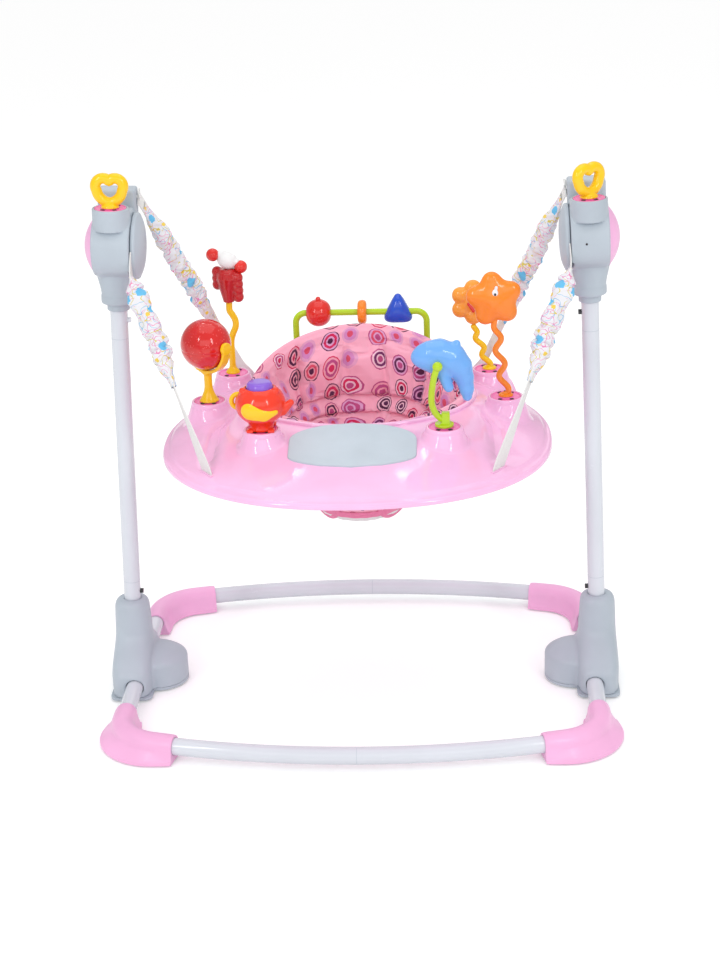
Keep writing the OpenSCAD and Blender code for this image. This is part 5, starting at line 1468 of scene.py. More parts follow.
    def spring(self, kind: int) -> Shape:
        """The bounce spring in a sleeve: a helix of wire about the strap's line."""
        _, top, end, _ = self.route(kind)
        a, b = top + (end - top) * 0.09, top + (end - top) * (self.cover[kind] - 0.03)
        along, wide = unit(b - a), self.flat_way(kind)
        t = np.linspace(0, 1, self.coils * 12)[:, None]
        angle = FULL * self.coils * t
        out = np.cos(angle) * wide + np.sin(angle) * np.cross(along, wide)
        return sweep(a + (b - a) * t + self.coil_r * out, self.wire_r, along, 6)


@dataclass
class Tray:
    """The pink play tray: shell, cups, toy sockets, grey insert and the seat opening's lip."""

    cup_r: float = 25.5
    disc_r: float = 22.2
    rim_edge: float = 6.0
    rim_low: float = 390.0
    wall: float = 3.5
    insert_half: float = 91.0
    insert_power: float = 0.22
    insert_rear: tuple = (-83.0, -26.0)  # edge's middle, bow to the corners
    insert_front: tuple = (-181.0, 23.0)  # edge's middle, bow to the corners
    insert_rise: tuple = (3.0, 8.0)
    front_groove: tuple = ((-156, -100, -34, 10), (203, 207, 204, 184))
    rear_groove: tuple = ((128, 182), (136, 158))
    groove_deep: tuple = (6.5, 5.0)
    groove_wide: tuple = (10.0, 12.0)
    groove_runs: tuple = ((-145.0, 15.0, 35.0), (110.0, 190.0, 30.0))  # from, to, fading over
    shoulder: tuple = (2.5, 6.0, 45.0)  # step down, over a width of, dies out within
    mound: tuple = (5.0, 40.0)  # height, spread
    cone: tuple = (450.0, 446.5, 3.0, 27.5)  # top, height at its edge, steepness, edge's radius
    cone_ease: float = 11.0
    brim_drop: float = 1.1

    def build(self, nodes: dict[str, bpy.types.Object]) -> None:
        """Makes the tray and its fixed pieces."""
        dress(nodes["strap_anchors"], Look.TRAY)
        fitted("tray_top", self.shell(), Look.TRAY, "tray", "tray_shell", sharp=60)
        # The toy sockets' dark slot bars are painted shade of their catch slots.
        disc, slots = socket_disc(self.disc_r, PLAN.cup_z), socket_slots(self.disc_r, PLAN.cup_z)
        for name, shape, look, *node in (("tray_cups", self.cup(), Look.TRAY),
                                         ("toy_discs", disc, Look.HOT, "toy_sockets"),
                                         ("toy_disc_slots", slots, Look.SHADOW)):
            rows = joined(*(shape.shifted(side * x, y, 0) for side in (-1, 1) for x, y in PLAN.cups))
            fitted(name, rows, look, "tray", *node)
        fitted("insert_panel", self.insert(), Look.INSERT, "tray", "front_insert")
        fitted("seat_lip", self.lip(), Look.TRAY, "tray", "seat_rim_ring")

    def height(self, x: Array, y: Array) -> Array:
        """Top of the tray: its fall, strap channels, and a soft mound and a cone for each cup, melted in."""
        z = PLAN.tray_z(x, y)
        along, behind = (np.clip((y - start) / fade, 0, 1) * np.clip((end - y) / fade, 0, 1)
                         for start, end, fade in self.groove_runs)
        for _, side in SIDES:
            off = side * x - np.interp(y, *self.front_groove)
            down, over, reach = self.shoulder
            step = down / (1 + np.exp(-np.clip(off / over, -40, 40))) * np.exp(-((off / reach) ** 2))
            z = z - along * (self.groove_deep[0] * np.exp(-((off / self.groove_wide[0]) ** 2)) + step)
            off = side * x - np.interp(y, *self.rear_groove)
            z = z - self.groove_deep[1] * behind * np.exp(-((off / self.groove_wide[1]) ** 2))
        for side in (-1, 1):
            for cx, cy in PLAN.cups:
                d = np.hypot(x - side * cx, y - cy)
                z = z + self.mound[0] * np.exp(-((d / self.mound[1]) ** 2))
                top, edge, steep, wide = self.cone
                z = -melt(-z, -np.minimum(top, edge - steep * (d - wide)), self.cone_ease)
        return z

    def shell(self) -> Shape:
        """Closed shell: top from the opening to the rim, rolled edge, and a plain underside."""
        a = turn_of(480)[None, :]
        hx, hy = PLAN.hole(a)
        way = np.linspace(0, 1, 84)[:, None]
        rx, ry = PLAN.rim(a, self.rim_edge)
        x, y = hx + (rx - hx) * way, hy + (ry - hy) * way
        top = self.height(x, y) - self.brim_drop * eased((way - 0.94) / 0.025)
        rows = [stacked(x, y, top)]
        for turn in np.linspace(0, math.pi / 2, 7)[1:]:
            ex, ey = PLAN.rim(a, self.rim_edge * (1 - math.sin(turn)))
            rows.append(stacked(ex, ey, top[-1:] - self.rim_edge * (1 - math.cos(turn))))
        for inset, z in ((0.0, self.rim_low + 0.8), (0.8, self.rim_low), (self.wall, self.rim_low)):
            ex, ey = PLAN.rim(a, inset)
            rows.append(stacked(ex, ey, np.full_like(ex, z)))
        back = np.linspace(1, 0, 30)[:, None]
        x, y = hx + (rx - hx) * back, hy + (ry - hy) * back
        rows.append(stacked(x, y, PLAN.tray_z(x, y) - self.wall - 2))
        return surface(np.concatenate(rows), loop=True)

    def cup(self) -> Shape:
        """Crisp rim of a cup, which melts into the tray below."""
        top, r, hole = PLAN.cup_z, self.cup_r, self.disc_r + 0.3
        line = rounded([(hole, top - 6, 0), (hole, top - 0.6, 0.3), (hole + 0.7, top + 0.2, 0.6),
                        (r - 0.4, top + 0.2, 1.0), (r + 0.6, top - 1.2, 1.2), (r + 2.1, top - 6.3, 1.5),
                        (r - 1, top - 9, 0), (hole, top - 6, 0)], 5)
        return lathe(line, 96)

    def insert(self) -> Shape:
        """Grey panel: an oblong with round corners, bent round the opening, rolled under at its edge."""
        angle = turn_of(200)[None, :]
        c, s = np.cos(angle), np.sin(angle)
        way = np.concatenate([np.linspace(0, 0.97, 26), [0.985, 0.995, 1.0, 1.0, 0.9, 0.0]])[:, None]
        drop = np.concatenate([np.zeros(26), [0.15, 0.6, 1.4, 4.5, 4.5, 4.5]])[:, None]
        u = way * np.sign(c) * np.abs(c) ** self.insert_power
        v = (1 + way * np.sign(s) * np.abs(s) ** self.insert_power) / 2
        x = self.insert_half * u
        rear, front = (at + bow * u**2 for at, bow in (self.insert_rear, self.insert_front))
        y = front + (rear - front) * v
        z = PLAN.tray_z(x, y) + self.insert_rise[0] + self.insert_rise[1] * v**3 - drop
        return surface(stacked(x, y, z))

    @staticmethod
    def lip() -> Shape:
        """Raised lip round the seat opening: a small hooked profile carried round the ellipse."""
        a = turn_of(240)[None, :]
        line = rounded([(4, -24, 0), (4, 2, 1), (3, 4.4, 1.6), (-3.4, 4.4, 1.8), (-4.6, 1.5, 1.2),
                        (-4.2, -1.5, 0.6), (0.4, -1.5, 0.3), (0.4, -24, 0), (4, -24, 0)], 4)
        x, y = PLAN.hole(a, line[:, :1])
        return surface(stacked(x, y, PLAN.tray_top + line[:, 1:] + 0 * x))


@dataclass
class Seat:
    """The padded seat: quilted inside, piped top edge, bound leg holes and a hem below the tray."""

    low_z: float = 250.0
    rim: tuple = (452.0, 66.0, 12.0)  # height at the sides, rise to the back, fall to the front
    top_half: tuple = (168.5, 130.5)
    middle_y: tuple = (60.0, 20.0)  # at the top, how far forwards at the foot
    shrink: float = 1.7
    foot_half: tuple = (36.0, 50.0)
    thick: float = 11.0
    fold: float = 0.4
    tuck: float = 0.49
    end: float = 0.86
    upper_seams: tuple = (-90.0, -35.0, 0.0, 52.0, 128.0, 180.0, 215.0)
    lower_seams: tuple = (-90.0, -30.0, 20.0, 79.0, 160.0, 210.0)
    seam_dip: tuple = (0.8, 6.0)  # share of the swell, width
    creases: tuple = (79.0, 97.0)
    crease_depth: float = 7.0
    crease_run: tuple = (0.12, 0.28)  # from, deepening over
    crease_hold: float = 0.9
    hold_wide: float = 5.0
    fold_wide: float = 0.018
    mean_r: float = 140.0
    print_r: float = 145.0
    swells: tuple = (13.0, 9.0, 15.0)  # back, middle tier, base
    hang: tuple = (0.55, 0.7, 16)  # full from, power of the rise, power of the turn inwards
    shelf: float = 26.0
    shelf_run: float = 0.3
    squared: tuple = (0.8, 0.35)  # added to the oval's power, over a share of the way down
    brim: float = 0.03
    brim_high: float = 1.4
    held: tuple = (0.07, 0.8)  # sewn above, sewn below
    hem_band: tuple = (0.79, 0.838, 2.4)  # from, to, how proud
    lining_band: tuple = (0.82, 0.872, 1.2)  # from, to, how proud
    piping_r: float = 2.4
    binding_r: float = 5.5
    swell_cap: float = 0.012
    frames: int = 22
    leg_r: float = 43.0
    leg_seam: float = 5.0
    leg_at: tuple = (50.0, 20.0, 321.0)
    leg_way: tuple = (0.491, -0.786, -0.375)

    def build(self) -> None:
        """Makes the seat, cuts its leg holes, fills it and sews on its edges."""
        seat = piece("seat", self.pad(), Look.SEAT, 75.0)
        self.cut_legs(seat)
        self.fill(seat)
        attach(seat, "tray")
        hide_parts("seat_pad")
        fitted("seat_piping", self.piping(), Look.BINDING, "tray", sharp=80)
        fitted("seat_hem", self.hem(*self.hem_band), Look.BINDING, "tray", sharp=60)
        fitted("seat_lining", self.hem(*self.lining_band), Look.LINING, "tray", sharp=60)
        for label, side in SIDES:
            fitted(f"leg_binding_{label}", self.leg_ring(side), Look.BINDING, "tray", sharp=80)

    def rim_z(self, a: Array) -> Array:
        """Height of the seat's top edge: high at the back, a little low at the front."""
        s = np.sin(a)
        side, back, front = self.rim
        return side + back * np.maximum(0, s) ** 1.1 - front * np.maximum(0, -s) ** 2

    def oval(self, g: Array, inset: Array | float = 0.0) -> tuple[Array, Array, Array]:
        """Half width, half depth and middle of the wall's oval, which shrinks with g from 0 to 1."""
        w, d = (top + (foot - top) * g - inset for top, foot in zip(self.top_half, self.foot_half))
        return w, d, self.middle_y[0] - self.middle_y[1] * g

    def point(self, a: Array, t: Array, inset: Array, square: Array | float = 0.0) -> Array:
        """Point of the seat's wall: ovals that shrink with a power of the way down.

        Args:
            a: angle round the seat.
            t: share of the way down from the top edge.
            inset: how far the oval is drawn in.
            square: how much the oval's power is above an ellipse's 2.

        Returns:
            The point.
        """
        w, d, middle = self.oval(np.clip(t, 0, 1) ** self.shrink, inset)
        z = self.rim_z(a) + (self.low_z - self.rim_z(a)) * t
        power = 2 / (2 + square)
        c, s = np.cos(a), np.sin(a)
        x, y = w * np.sign(c) * np.abs(c) ** power, d * np.sign(s) * np.abs(s) ** power
        return np.stack(np.broadcast_arrays(x, middle + y, z), axis=-1)

    def quilting(self, a: Array, t: Array) -> tuple[Array, Array]:
        """Swell of the inside, and how firmly it is sewn: tiers of panels, drawn in along seams and folds.

        Each tier grows downwards and turns in sharply at its lower edge. Creases deepen towards the fold, and
        the bottom cushion comes forwards below the tuck.

        Args:
            a: angle round the seat.
            t: share of the way down.

        Returns:
            Distance inwards, and hold from 0, free, to 1, sewn.
        """
        def off(seams: tuple) -> Array:
            """Distance round the wall to the nearest of some seams."""
            return np.abs((a[..., None] - np.radians(seams) + math.pi) % FULL - math.pi).min(-1) * self.mean_r

        def tier(apart: Array, low: float, high: float, swell: float) -> Array:
            """Swell of one tier."""
            across = np.clip((t - low) / (high - low), 0, 1)
            full, rise, turn = self.hang
            hang = (np.minimum(1, across / full) ** rise) * np.sqrt(1 - across**turn)
            return swell * hang * (1 - self.seam_dip[0] * np.exp(-((apart / self.seam_dip[1]) ** 2)))

        upper, lower = off(self.upper_seams), off(self.lower_seams)
        start, run = self.crease_run
        crease = np.exp(-((off(self.creases) / self.hold_wide) ** 2))
        crease = crease * np.clip((t - start) / run, 0, 1) * (t < self.fold)
        back, band, base = self.swells
        plies = tier(upper, -0.06, self.fold, back) + tier(lower, self.fold, self.tuck, band)
        plies = plies + tier(lower, self.tuck, 0.98, base) - self.crease_depth * crease
        ahead = np.clip((t - self.tuck) / self.shelf_run, 0, 1)
        plies = plies + self.shelf * ahead * (2 - ahead)
        seam = np.where(t < self.fold, upper, lower)
        hold = np.maximum(np.exp(-((seam / self.hold_wide) ** 2)), self.crease_hold * crease)
        for line in (self.fold, self.tuck):
            hold = np.maximum(hold, np.exp(-(((t - line) / self.fold_wide) ** 2)))
        return plies, np.where((t < self.held[0]) | (t > self.held[1]), 1.0, hold)

    def pad(self) -> Shape:
        """The whole pad as one closed grid: underside, outer wall, crown, quilted inner wall and floor."""
        a = FULL * np.arange(221)[None, :] / 220
        half = self.thick / 2
        foot = self.point(a, np.full_like(a, self.end), 0.0)
        floor = foot.mean(axis=1, keepdims=True)
        under = floor + (foot - floor) * np.linspace(0, 1, 7)[:-1, None, None]
        draw = 1.2 * np.sin(np.linspace(0, 3.1, 26))[:, None]
        outer = self.point(a, np.linspace(self.end, self.brim, 26)[:, None], draw)
        bend = np.linspace(0, math.pi, 12)[1:-1, None]
        crown = self.point(a, self.brim + 0 * bend, half * (1 - np.cos(bend)))
        crown[..., 2] += half * self.brim_high * np.sin(bend)
        t = np.linspace(self.brim, self.end - 0.05, 110)[:, None]
        swell, hold = self.quilting(a + 0 * t, t + 0 * a)
        more, over = self.squared
        inner = self.point(a, t, self.thick + swell, more * np.clip(t / over, 0, 1))
        last = inner[-1:]
        middle = last.mean(axis=1, keepdims=True) - np.array([0, 0, 4.0])
        base = middle + (last - middle) * np.linspace(1, 0, 9)[1:, None, None]
        grid = np.concatenate([under, outer, crown, inner, base])
        run = np.linalg.norm(np.diff(grid, axis=0), axis=-1).mean(axis=1)
        along = np.concatenate([[0], np.cumsum(run)])[:, None]
        made = surface(grid, wrap=False, uv=np.stack(np.broadcast_arrays(a * self.print_r, along), axis=-1))
        sewn = np.ones(grid.shape[:2])
        first = len(under) + len(outer) + len(crown)
        sewn[first : first + len(inner)] = hold
        made.sewn = sewn.ravel()
        return made

    def fill(self, seat: bpy.types.Object) -> None:
        """Swells the pad as cloth under pressure, with its seams held, and keeps the result in the mesh."""
        count = len(seat.data.vertices)
        sewn = np.zeros(count, np.float32)
        seat.data.attributes["sewn"].data.foreach_get("value", sewn)
        start, end = np.zeros(count * 3, np.float32), np.zeros(count * 3, np.float32)
        seat.data.vertices.foreach_get("co", start)
        for _, side in SIDES:
            at, way, first, second = self.leg_frame(side)
            off = start.reshape(-1, 3) / MM - at
            edge = np.abs(np.hypot(off @ first, off @ second) - self.leg_r) < self.leg_seam
            sewn[edge & (off @ way > 0)] = 1.0
        group = seat.vertex_groups.new(name="sewn")
        levels = np.round(sewn, 1)
        for level in np.unique(levels):
            group.add(np.flatnonzero(levels == level).tolist(), float(level), "REPLACE")
        filling = seat.modifiers.new("filling", "CLOTH")
        filling.point_cache.frame_end = self.frames
        cloth = filling.settings
        cloth.quality = 5
        cloth.mass = 0.15
        cloth.tension_stiffness, cloth.compression_stiffness, cloth.shear_stiffness = 12.0, 12.0, 4.0
        cloth.bending_stiffness = 0.15
        cloth.use_pressure = True
        cloth.uniform_pressure_force = 4.0
        cloth.shrink_min = -0.1
        cloth.vertex_group_mass = "sewn"
        cloth.effector_weights.gravity = 0.0
        for frame in range(1, self.frames + 1):
            bpy.context.scene.frame_set(frame)
        swollen = seat.evaluated_get(bpy.context.evaluated_depsgraph_get())
        swollen.data.vertices.foreach_get("co", end)
        move = (end - start).reshape(-1, 3)
        far = np.linalg.norm(move, axis=1, keepdims=True)
        LOG.info("seat filling: moves %.1f mm on average, %.1f mm at most", far.mean() / MM, far.max() / MM)
        move = move * np.minimum(1, self.swell_cap / np.maximum(far, 1e-9))
        seat.modifiers.remove(filling)
        seat.vertex_groups.clear()
        seat.data.vertices.foreach_set("co", start + move.ravel())
        seat.data.update()
        bpy.context.scene.frame_set(1)

    def cut_legs(self, seat: bpy.types.Object) -> None:
        """Cuts the two leg holes through the seat's wall."""
        for _, side in SIDES:
            hole = piece("leg_cutter", self.leg_rod(side), Look.SEAT)
            cut = seat.modifiers.new("leg", "BOOLEAN")
            cut.operation, cut.object, cut.solver = "DIFFERENCE", hole, "EXACT"
            bpy.context.view_layer.update()
            done = bpy.data.meshes.new_from_object(seat.evaluated_get(bpy.context.evaluated_depsgraph_get()))
            seat.modifiers.clear()
            seat.data = done
            bpy.data.objects.remove(hole)

    def leg_frame(self, side: int) -> tuple[Array, Array, Array, Array]:
        """Middle of a leg hole, its axis and two directions across it."""
        flip = np.array([side, 1.0, 1.0])
        way = unit(np.array(self.leg_way) * flip)
        first = unit(np.cross(way, UP))
        return np.array(self.leg_at) * flip, way, first, np.cross(way, first)

    def leg_rod(self, side: int) -> Shape:
        """Cutter of a leg hole."""
        at, way, first, second = self.leg_frame(side)
        bar = lathe(np.array([[0.0, 0], [self.leg_r, 0], [self.leg_r, 120], [0, 120]]), 72)
        return bar.moved(lambda p: at + p[..., :1] * first + p[..., 1:2] * second + p[..., 2:] * way)

    def wall_share(self, p: Array) -> Array:
        """How far out places are, as a share of the outer wall's oval at their height."""
        angle = np.full(len(p), -math.pi / 2)
        for _ in range(6):
            rim = self.rim_z(angle)
            g = np.clip((rim - p[:, 2]) / (rim - self.low_z), 0, 1) ** self.shrink
            w, d, middle = self.oval(g)
            u, v = p[:, 0] / w, (p[:, 1] - middle) / d
            angle = np.arctan2(v, u)
        return np.hypot(u, v)

    def leg_ring(self, side: int) -> Shape:
        """Round binding of a leg hole, where the hole's cylinder leaves the outer wall.

        Bisection along the hole's axis finds where each line of the cylinder crosses the wall's oval.
        """
        at, way, first, second = self.leg_frame(side)
        a = turn_of(96)[:, None]
        begin = at + (self.leg_r - 1) * (np.cos(a) * first + np.sin(a) * second)
        low, high = np.zeros((96, 1)), np.full((96, 1), 110.0)
        for _ in range(24):
            half = (low + high) / 2
            within = self.wall_share(begin + way * half)[:, None] < 1
            low, high = np.where(within, half, low), np.where(within, high, half)
        line = begin + way * (low - 3.0)
        return self.printed(sweep(line, self.binding_r, way, 16, True))

    @staticmethod
    def printed(shape: Shape) -> Shape:
        """A piece of cloth whose print is laid on from the front."""
        return Shape(shape.points, shape.quads, shape.points[:, [0, 2]])

    def piping(self) -> Shape:
        """Thin round piping along the outer top edge."""
        a = turn_of(240)
        line = self.point(a, np.full_like(a, 0.035), 0.3)
        return self.printed(sweep(line, self.piping_r, UP, 14, True))

    def hem(self, high: float, low: float, proud: float) -> Shape:
        """Band round the seat's foot with a rolled lower edge and a slight wave.

        Args:
            high: share of the way down at the band's upper edge.
            low: the same at its lower edge.
            proud: how far it stands out of the wall.

        Returns:
            The band.
        """
        a = turn_of(200)[None, :]
        line = rounded([(0.6 - proud, high, 0), (-proud, low, 0.01), (1.4 - proud, low + 0.008, 0.01),
                        (1.5, low, 0), (1.5, high, 0), (0.6 - proud, high, 0)], 3)
        wave = 0.6 * np.sin(23 * a + np.sin(5 * a))
        return self.printed(surface(self.point(a + 0 * line[:, :1], line[:, 1:], line[:, :1] + wave)))


@dataclass
class Toys:
    """The toys on the tray, each on its stem; every shape is made about its toy's own origin."""

    tall_foot: tuple = ((10.5, 3, 2), (5.2, 9, 4), (5, 14, 0))
    low_foot: tuple = ((10.5, 2.6, 2), (5, 5, 2), (3, 7, 0))
    rod_r: float = 5.0
    wave_r: float = 4.5
    pot_half: tuple = (36.0, 35.0, 31.0)
    pot_z: float = 38.0
    drop_proud: float = 2.4
    knob_r: float = 19.0
    knob_z: float = 54.6
    ball_z: float = 540.0
    ball_r: float = 37.5
    fork_r: float = 41.2
    fork_turn: float = math.radians(-38)
    crab_z: float = 567.0
    crab_tilt: float = math.radians(25)
    crown_z: float = 64.0
    arch_top: float = 530.0
    arch_bend: float = 16.0
    bead_x: tuple = (-66.0, 2.0, 58.0)
    bore_r: float = 5.6
    dolphin_at: tuple = (122.0, -96.0, 547.0)
    star_at: tuple = (204.0, 22.0, 601.0)
    flower_at: tuple = (174.0, 150.0, 559.0)

    def build(self) -> None:
        """Makes every toy."""
        for make in (self.teapot, self.ball, self.crab, self.arch, self.dolphin, self.star, self.flower):
            make()

    @staticmethod
    def put(at: tuple, *parts: tuple) -> None:
        """Fits the parts of one toy.

        Args:
            at: place of the toy's origin.
            parts: name, shape, finish, body and replaced nodes of each part.
        """
        for name, shape, look, body, *nodes in parts:
            fitted(name, shape.shifted(*at), look, body, *nodes)

    @staticmethod
    def foot(neck: tuple) -> Shape:
        """Flared foot of a stem, which stands on a socket disc and ends in the given neck."""
        return lathe(rounded([(0, 0.4, 0), (11, 0.4, 0.5), *neck], 5), 48)

    def teapot(self) -> None:
        """Red pot with a spout, yellow handle and drop, and a purple press button."""
        x, y = PLAN.cups[0]
        middle = (0, 0, self.pot_z)

        def form(p: Array) -> Array:
            """Distance to the pot, its foot, spout, nubs and tabs, with a well for the button."""
            pot = melt(egg(p, middle, self.pot_half), drum(p, (0, 0, 8), 2, 17.5, 9, 2.0), 6.0)
            for i in range(4):
                pot = melt(pot, ball(p, (31 + 4.2 * i, -6, 29 + 4.0 * i), 7.6 - 0.9 * i), 2.0)
            for _, side in SIDES:
                pot = melt(pot, ball(p, (side * 23.1, -10, 60), 5.5), 2.0)
            for u, v in ((-15, -15), (15, -15), (-15, 15), (15, 15)):
                pot = melt(pot, block(p, (u - 5, v - 5, 0), (u + 5, v + 5, 5), 1.5), 2.0)
            well = np.maximum(np.hypot(p[..., 0], p[..., 1]) - self.knob_r - 0.7, 50.0 - p[..., 2])
            return np.maximum(carve(pot, well, 1.5), 0.4 - p[..., 2])

        def drop(p: Array) -> Array:
            """Distance to the raised drop: a skin over the pot, cut by its outline seen from the front."""
            over = egg(p, middle, tuple(half + self.drop_proud for half in self.pot_half))
            flat = p * np.array([1, 0, 1])
            head = rod(flat, (-13, 0, 36), (8, 0, 30), 12.5, 8)
            outline = melt(head, rod(flat, (8, 0, 30), (23, 0, 33), 8, 4), 4.0)
            return np.maximum(-melt(-over, -outline, 2.5), p[..., 1] + 8)

        a = turn_of(72)
        loop = np.array([-31.0, 4.0, 41.0]) + 10.5 * stacked(np.cos(a), 0 * a, np.sin(a))
        r, z = self.knob_r, self.knob_z
        knob = rounded([(0, z, 0), (r, z, 0), (r, z + 10, 3), (r - 2.5, z + 16, 4), (10, z + 17, 2),
                        (0, z + 17, 0)], 6)
        pot = moulded(form, (-40, -40, -2), (62, 40, 68), 1.6)
        self.put((-x, y, PLAN.cup_z), ("teapot_pot", pot, Look.RED_ORANGE, "tray", "teapot_body"),
                 ("teapot_handle", sweep(loop, 3.5, BACK, 20, True), Look.YELLOW, "tray"),
                 ("teapot_drop", moulded(drop, (-34, -42, 10), (34, 0, 62), 1.4), Look.YELLOW, "tray"),
                 ("teapot_knob", lathe(knob, 72), Look.PURPLE, "teapot_button", "teapot_button"))

    def ball(self) -> None:
        """Glittering red ball with a groove, in a yellow fork."""
        x, y = PLAN.cups[1]
        a = np.linspace(-math.pi / 2, math.pi / 2, 90)
        r = self.ball_r - 1.1 * np.exp(-(((a + 0.14) / 0.022) ** 2))
        grooved = lathe(stacked(r * np.cos(a), r * np.sin(a)), 96)
        c, s = math.cos(self.fork_turn), math.sin(self.fork_turn)

        def form(p: Array) -> Array:
            """Distance to the fork: a half hoop about the ball, round ends, an axle and a flared stem."""
            u, v, z = c * p[..., 0] + s * p[..., 1], c * p[..., 1] - s * p[..., 0], p[..., 2]
            hoop = np.maximum(np.abs(np.hypot(u, z) - self.fork_r) - 1.3, np.abs(v) - 5.8)
            hoop = np.maximum(hoop, z) - 1.2
            ends = np.maximum(np.hypot(v, z) - 8, np.abs(np.abs(u) - self.fork_r) - 1.5) - 1.2
            stem = np.hypot(p[..., 0], p[..., 1]) - 6 - 9 * np.clip((-62 - z) / 25, 0, 1) ** 2
            stem = np.maximum(np.maximum(stem, z + 42), -87 - z)
            pin = np.maximum(np.hypot(v, z) - 3.5, np.maximum(np.abs(u) - 42, 37.8 - np.abs(u)))
            return melt(melt(melt(hoop, ends, 2.0), stem, 6.0), pin, 0.5)

        fork = moulded(form, (-50, -50, -90), (50, 50, 14), 1.6)
        self.put((-x, y, self.ball_z), ("ball_toy", grooved, Look.RED_GLITTER, "ball", "ball"),
                 ("ball_fork", fork, Look.YELLOW, "tray", "ball_stand"))

    def crab(self) -> None:
        """Red crab with ridged claws, ball eyes and a white crown, on a kinked yellow stem."""
        x, y = PLAN.cups[2]
        bends = np.array([[0, 0, 0.5], [0, 0, 30], [0, 0, 50], [3, 0, 62], [8, 0, 74], [8, 0, 84], [4, 0, 93],
                          [0, 0, 100], [0, 0, 111]], float)
        stem = joined(sweep(smooth_path(bends, 70), self.rod_r), self.foot(self.tall_foot))
        c, s = math.cos(self.crab_tilt), math.sin(self.crab_tilt)

        def form(p: Array) -> Array:
            """Distance to the body, whose radius grows upwards, with its two ridged claws."""
            z = p[..., 2]
            wide = np.interp(z, [0, 5, 22, 38, 48, 52], [8.5, 9.5, 14, 17, 15, 11])
            body = np.maximum(np.hypot(p[..., 0], p[..., 1]) - wide, np.abs(z - 26) - 26)
            for u, v, low, ridges in ((15.5, -6, 9, 4), (-16, 5, 26, 3)):
                for i in range(ridges):
                    body = melt(body, ball(p, (u, v, low + 10 * i), 8.5), 2.0)
            return body

        def crown(p: Array) -> Array:
            """Distance to the white crown: a squat tilted ball with lobes along its top."""
            u, w = p[..., 0], p[..., 2] - self.crown_z
            q = stacked(c * u - s * w, p[..., 1], s * u + c * w)
            lobed = egg(q, (0, 0, 0), (15, 12, 12))
            for k in range(5):
                lobed = melt(lobed, ball(q, (-13 + 6.5 * k, 0, 9 - (k - 2) ** 2), 5.5), 2.0)
            return lobed

        eyes = (globe(10.0, 28, 40).shifted(out * c, 0, self.crown_z - out * s) for out in (-23, 23))
        body = moulded(form, (-32, -24, -2), (32, 26, 65), 1.5)
        self.put((-x, y, PLAN.cup_z), ("crab_rod", stem, Look.YELLOW, "tray", "crab_stem"))
        self.put((-x, y, self.crab_z), ("crab_body", body, Look.RED_CLEAR, "crab", "crab"),
                 ("crab_crown", moulded(crown, (-26, -16, 43), (26, 16, 88), 1.4), Look.WHITE, "crab"),
                 ("crab_eyes", joined(*eyes), Look.RED, "crab"))

    def arch(self) -> None:
        """Arch of lime rod with three beads that slide on it."""
        half, y = PLAN.cups[3]
        top, bend, low = self.arch_top, self.arch_bend, PLAN.cup_z
        q = np.linspace(0, math.pi / 2, 14)
        left = stacked(-half + bend - bend * np.cos(q), top - bend + bend * np.sin(q))
        line = np.concatenate([[[-half, low + 0.5], [-half, 480.0]], left, [[0.0, top]]])
        line = np.concatenate([line, line[-2::-1] * np.array([-1, 1])])
        path = stacked(line[:, 0], 0 * line[:, 0], line[:, 1])
        feet = (self.foot(self.tall_foot).shifted(x, 0, low) for x in (-half, half))
        self.put((0, y, 0), ("arch", joined(sweep(path, self.rod_r), *feet), Look.LIME, "tray", "arch_rod"))

        def bead(long: float, wide: float, power: float) -> Shape:
            """A bead on the X axis: a superellipse of the given half length and radius, bored for the rod."""
            cut, bore = 0.34, self.bore_r
            a = np.linspace(cut, math.pi - cut, 40)
            along = -long * np.cos(a) / math.cos(cut)
            skin = stacked(np.maximum(bore, wide * np.sin(a) ** power), along)
            closed = np.concatenate([[[bore, along[0]]], skin, [[bore, along[-1]], [bore, along[0]]]])
            return lathe(closed, 72).moved(onto_x)

        def crested(p: Array) -> Array:
            """Distance to the blue bead: a round-edged triangle, point up, with a nub, bored for the rod."""
            x, z = p[..., 0], p[..., 2]
            flanks = -melt(17 - 0.87 * x - 0.46 * z, 17 + 0.87 * x - 0.46 * z, 18.0)
            form = -melt(-flanks, z + 17, 18.0)
            form = -melt(-form, 17 - np.abs(p[..., 1]), 16.0)
            form = melt(form, ball(p, (0, 0, 23), 4.8), 3.0)
            return carve(form, np.hypot(p[..., 1], z) - self.bore_r, 1.0)

        nubbed = joined(bead(19, 21.5, 0.85), globe(4.0, 16, 24).shifted(0, 0, 22))
        fin = moulded(crested, (-25, -20, -22), (25, 20, 33), 1.4)
        beads = (("bead_round", nubbed, Look.RED), ("bead_ring", bead(7, 19, 0.3), Look.ORANGE),
                 ("bead_fin", fin, Look.DEEP_BLUE))
        for x, (name, shape, look) in zip(self.bead_x, beads):
            self.put((x, y, top), (f"{name}_toy", shape, look, name, name))

    def dolphin(self) -> None:
        """Blue dolphin that swings on a bent lime post."""
        bends = np.array([[0, 0, 10], [-6, -1, 13], [-13, -3, 22], [-17, -6, 36], [-17, -10, 52],
                          [-15, -14, 68], [-12, -16.5, 82], [-8, -17, 94]], float)
        spine = np.array([[-29, 5, 5], [-25, 6, 12], [-14, 7, 20], [2, 6, 25], [18, 1, 23.5], [30, -10, 18],
                          [37, -25, 12.5], [40, -41, 9.5], [41, -53, 7]], float)

        def stub(p: Array) -> Array:
            """Distance to the square stub on a round foot that carries the post."""
            square = block(p, (-4, -5.5, 2), (8, 5.5, 21), 2.0)
            return melt(drum(p, (0, 0, 2.6), 2, 13.5, 2.2, 1.0), square, 2.5)

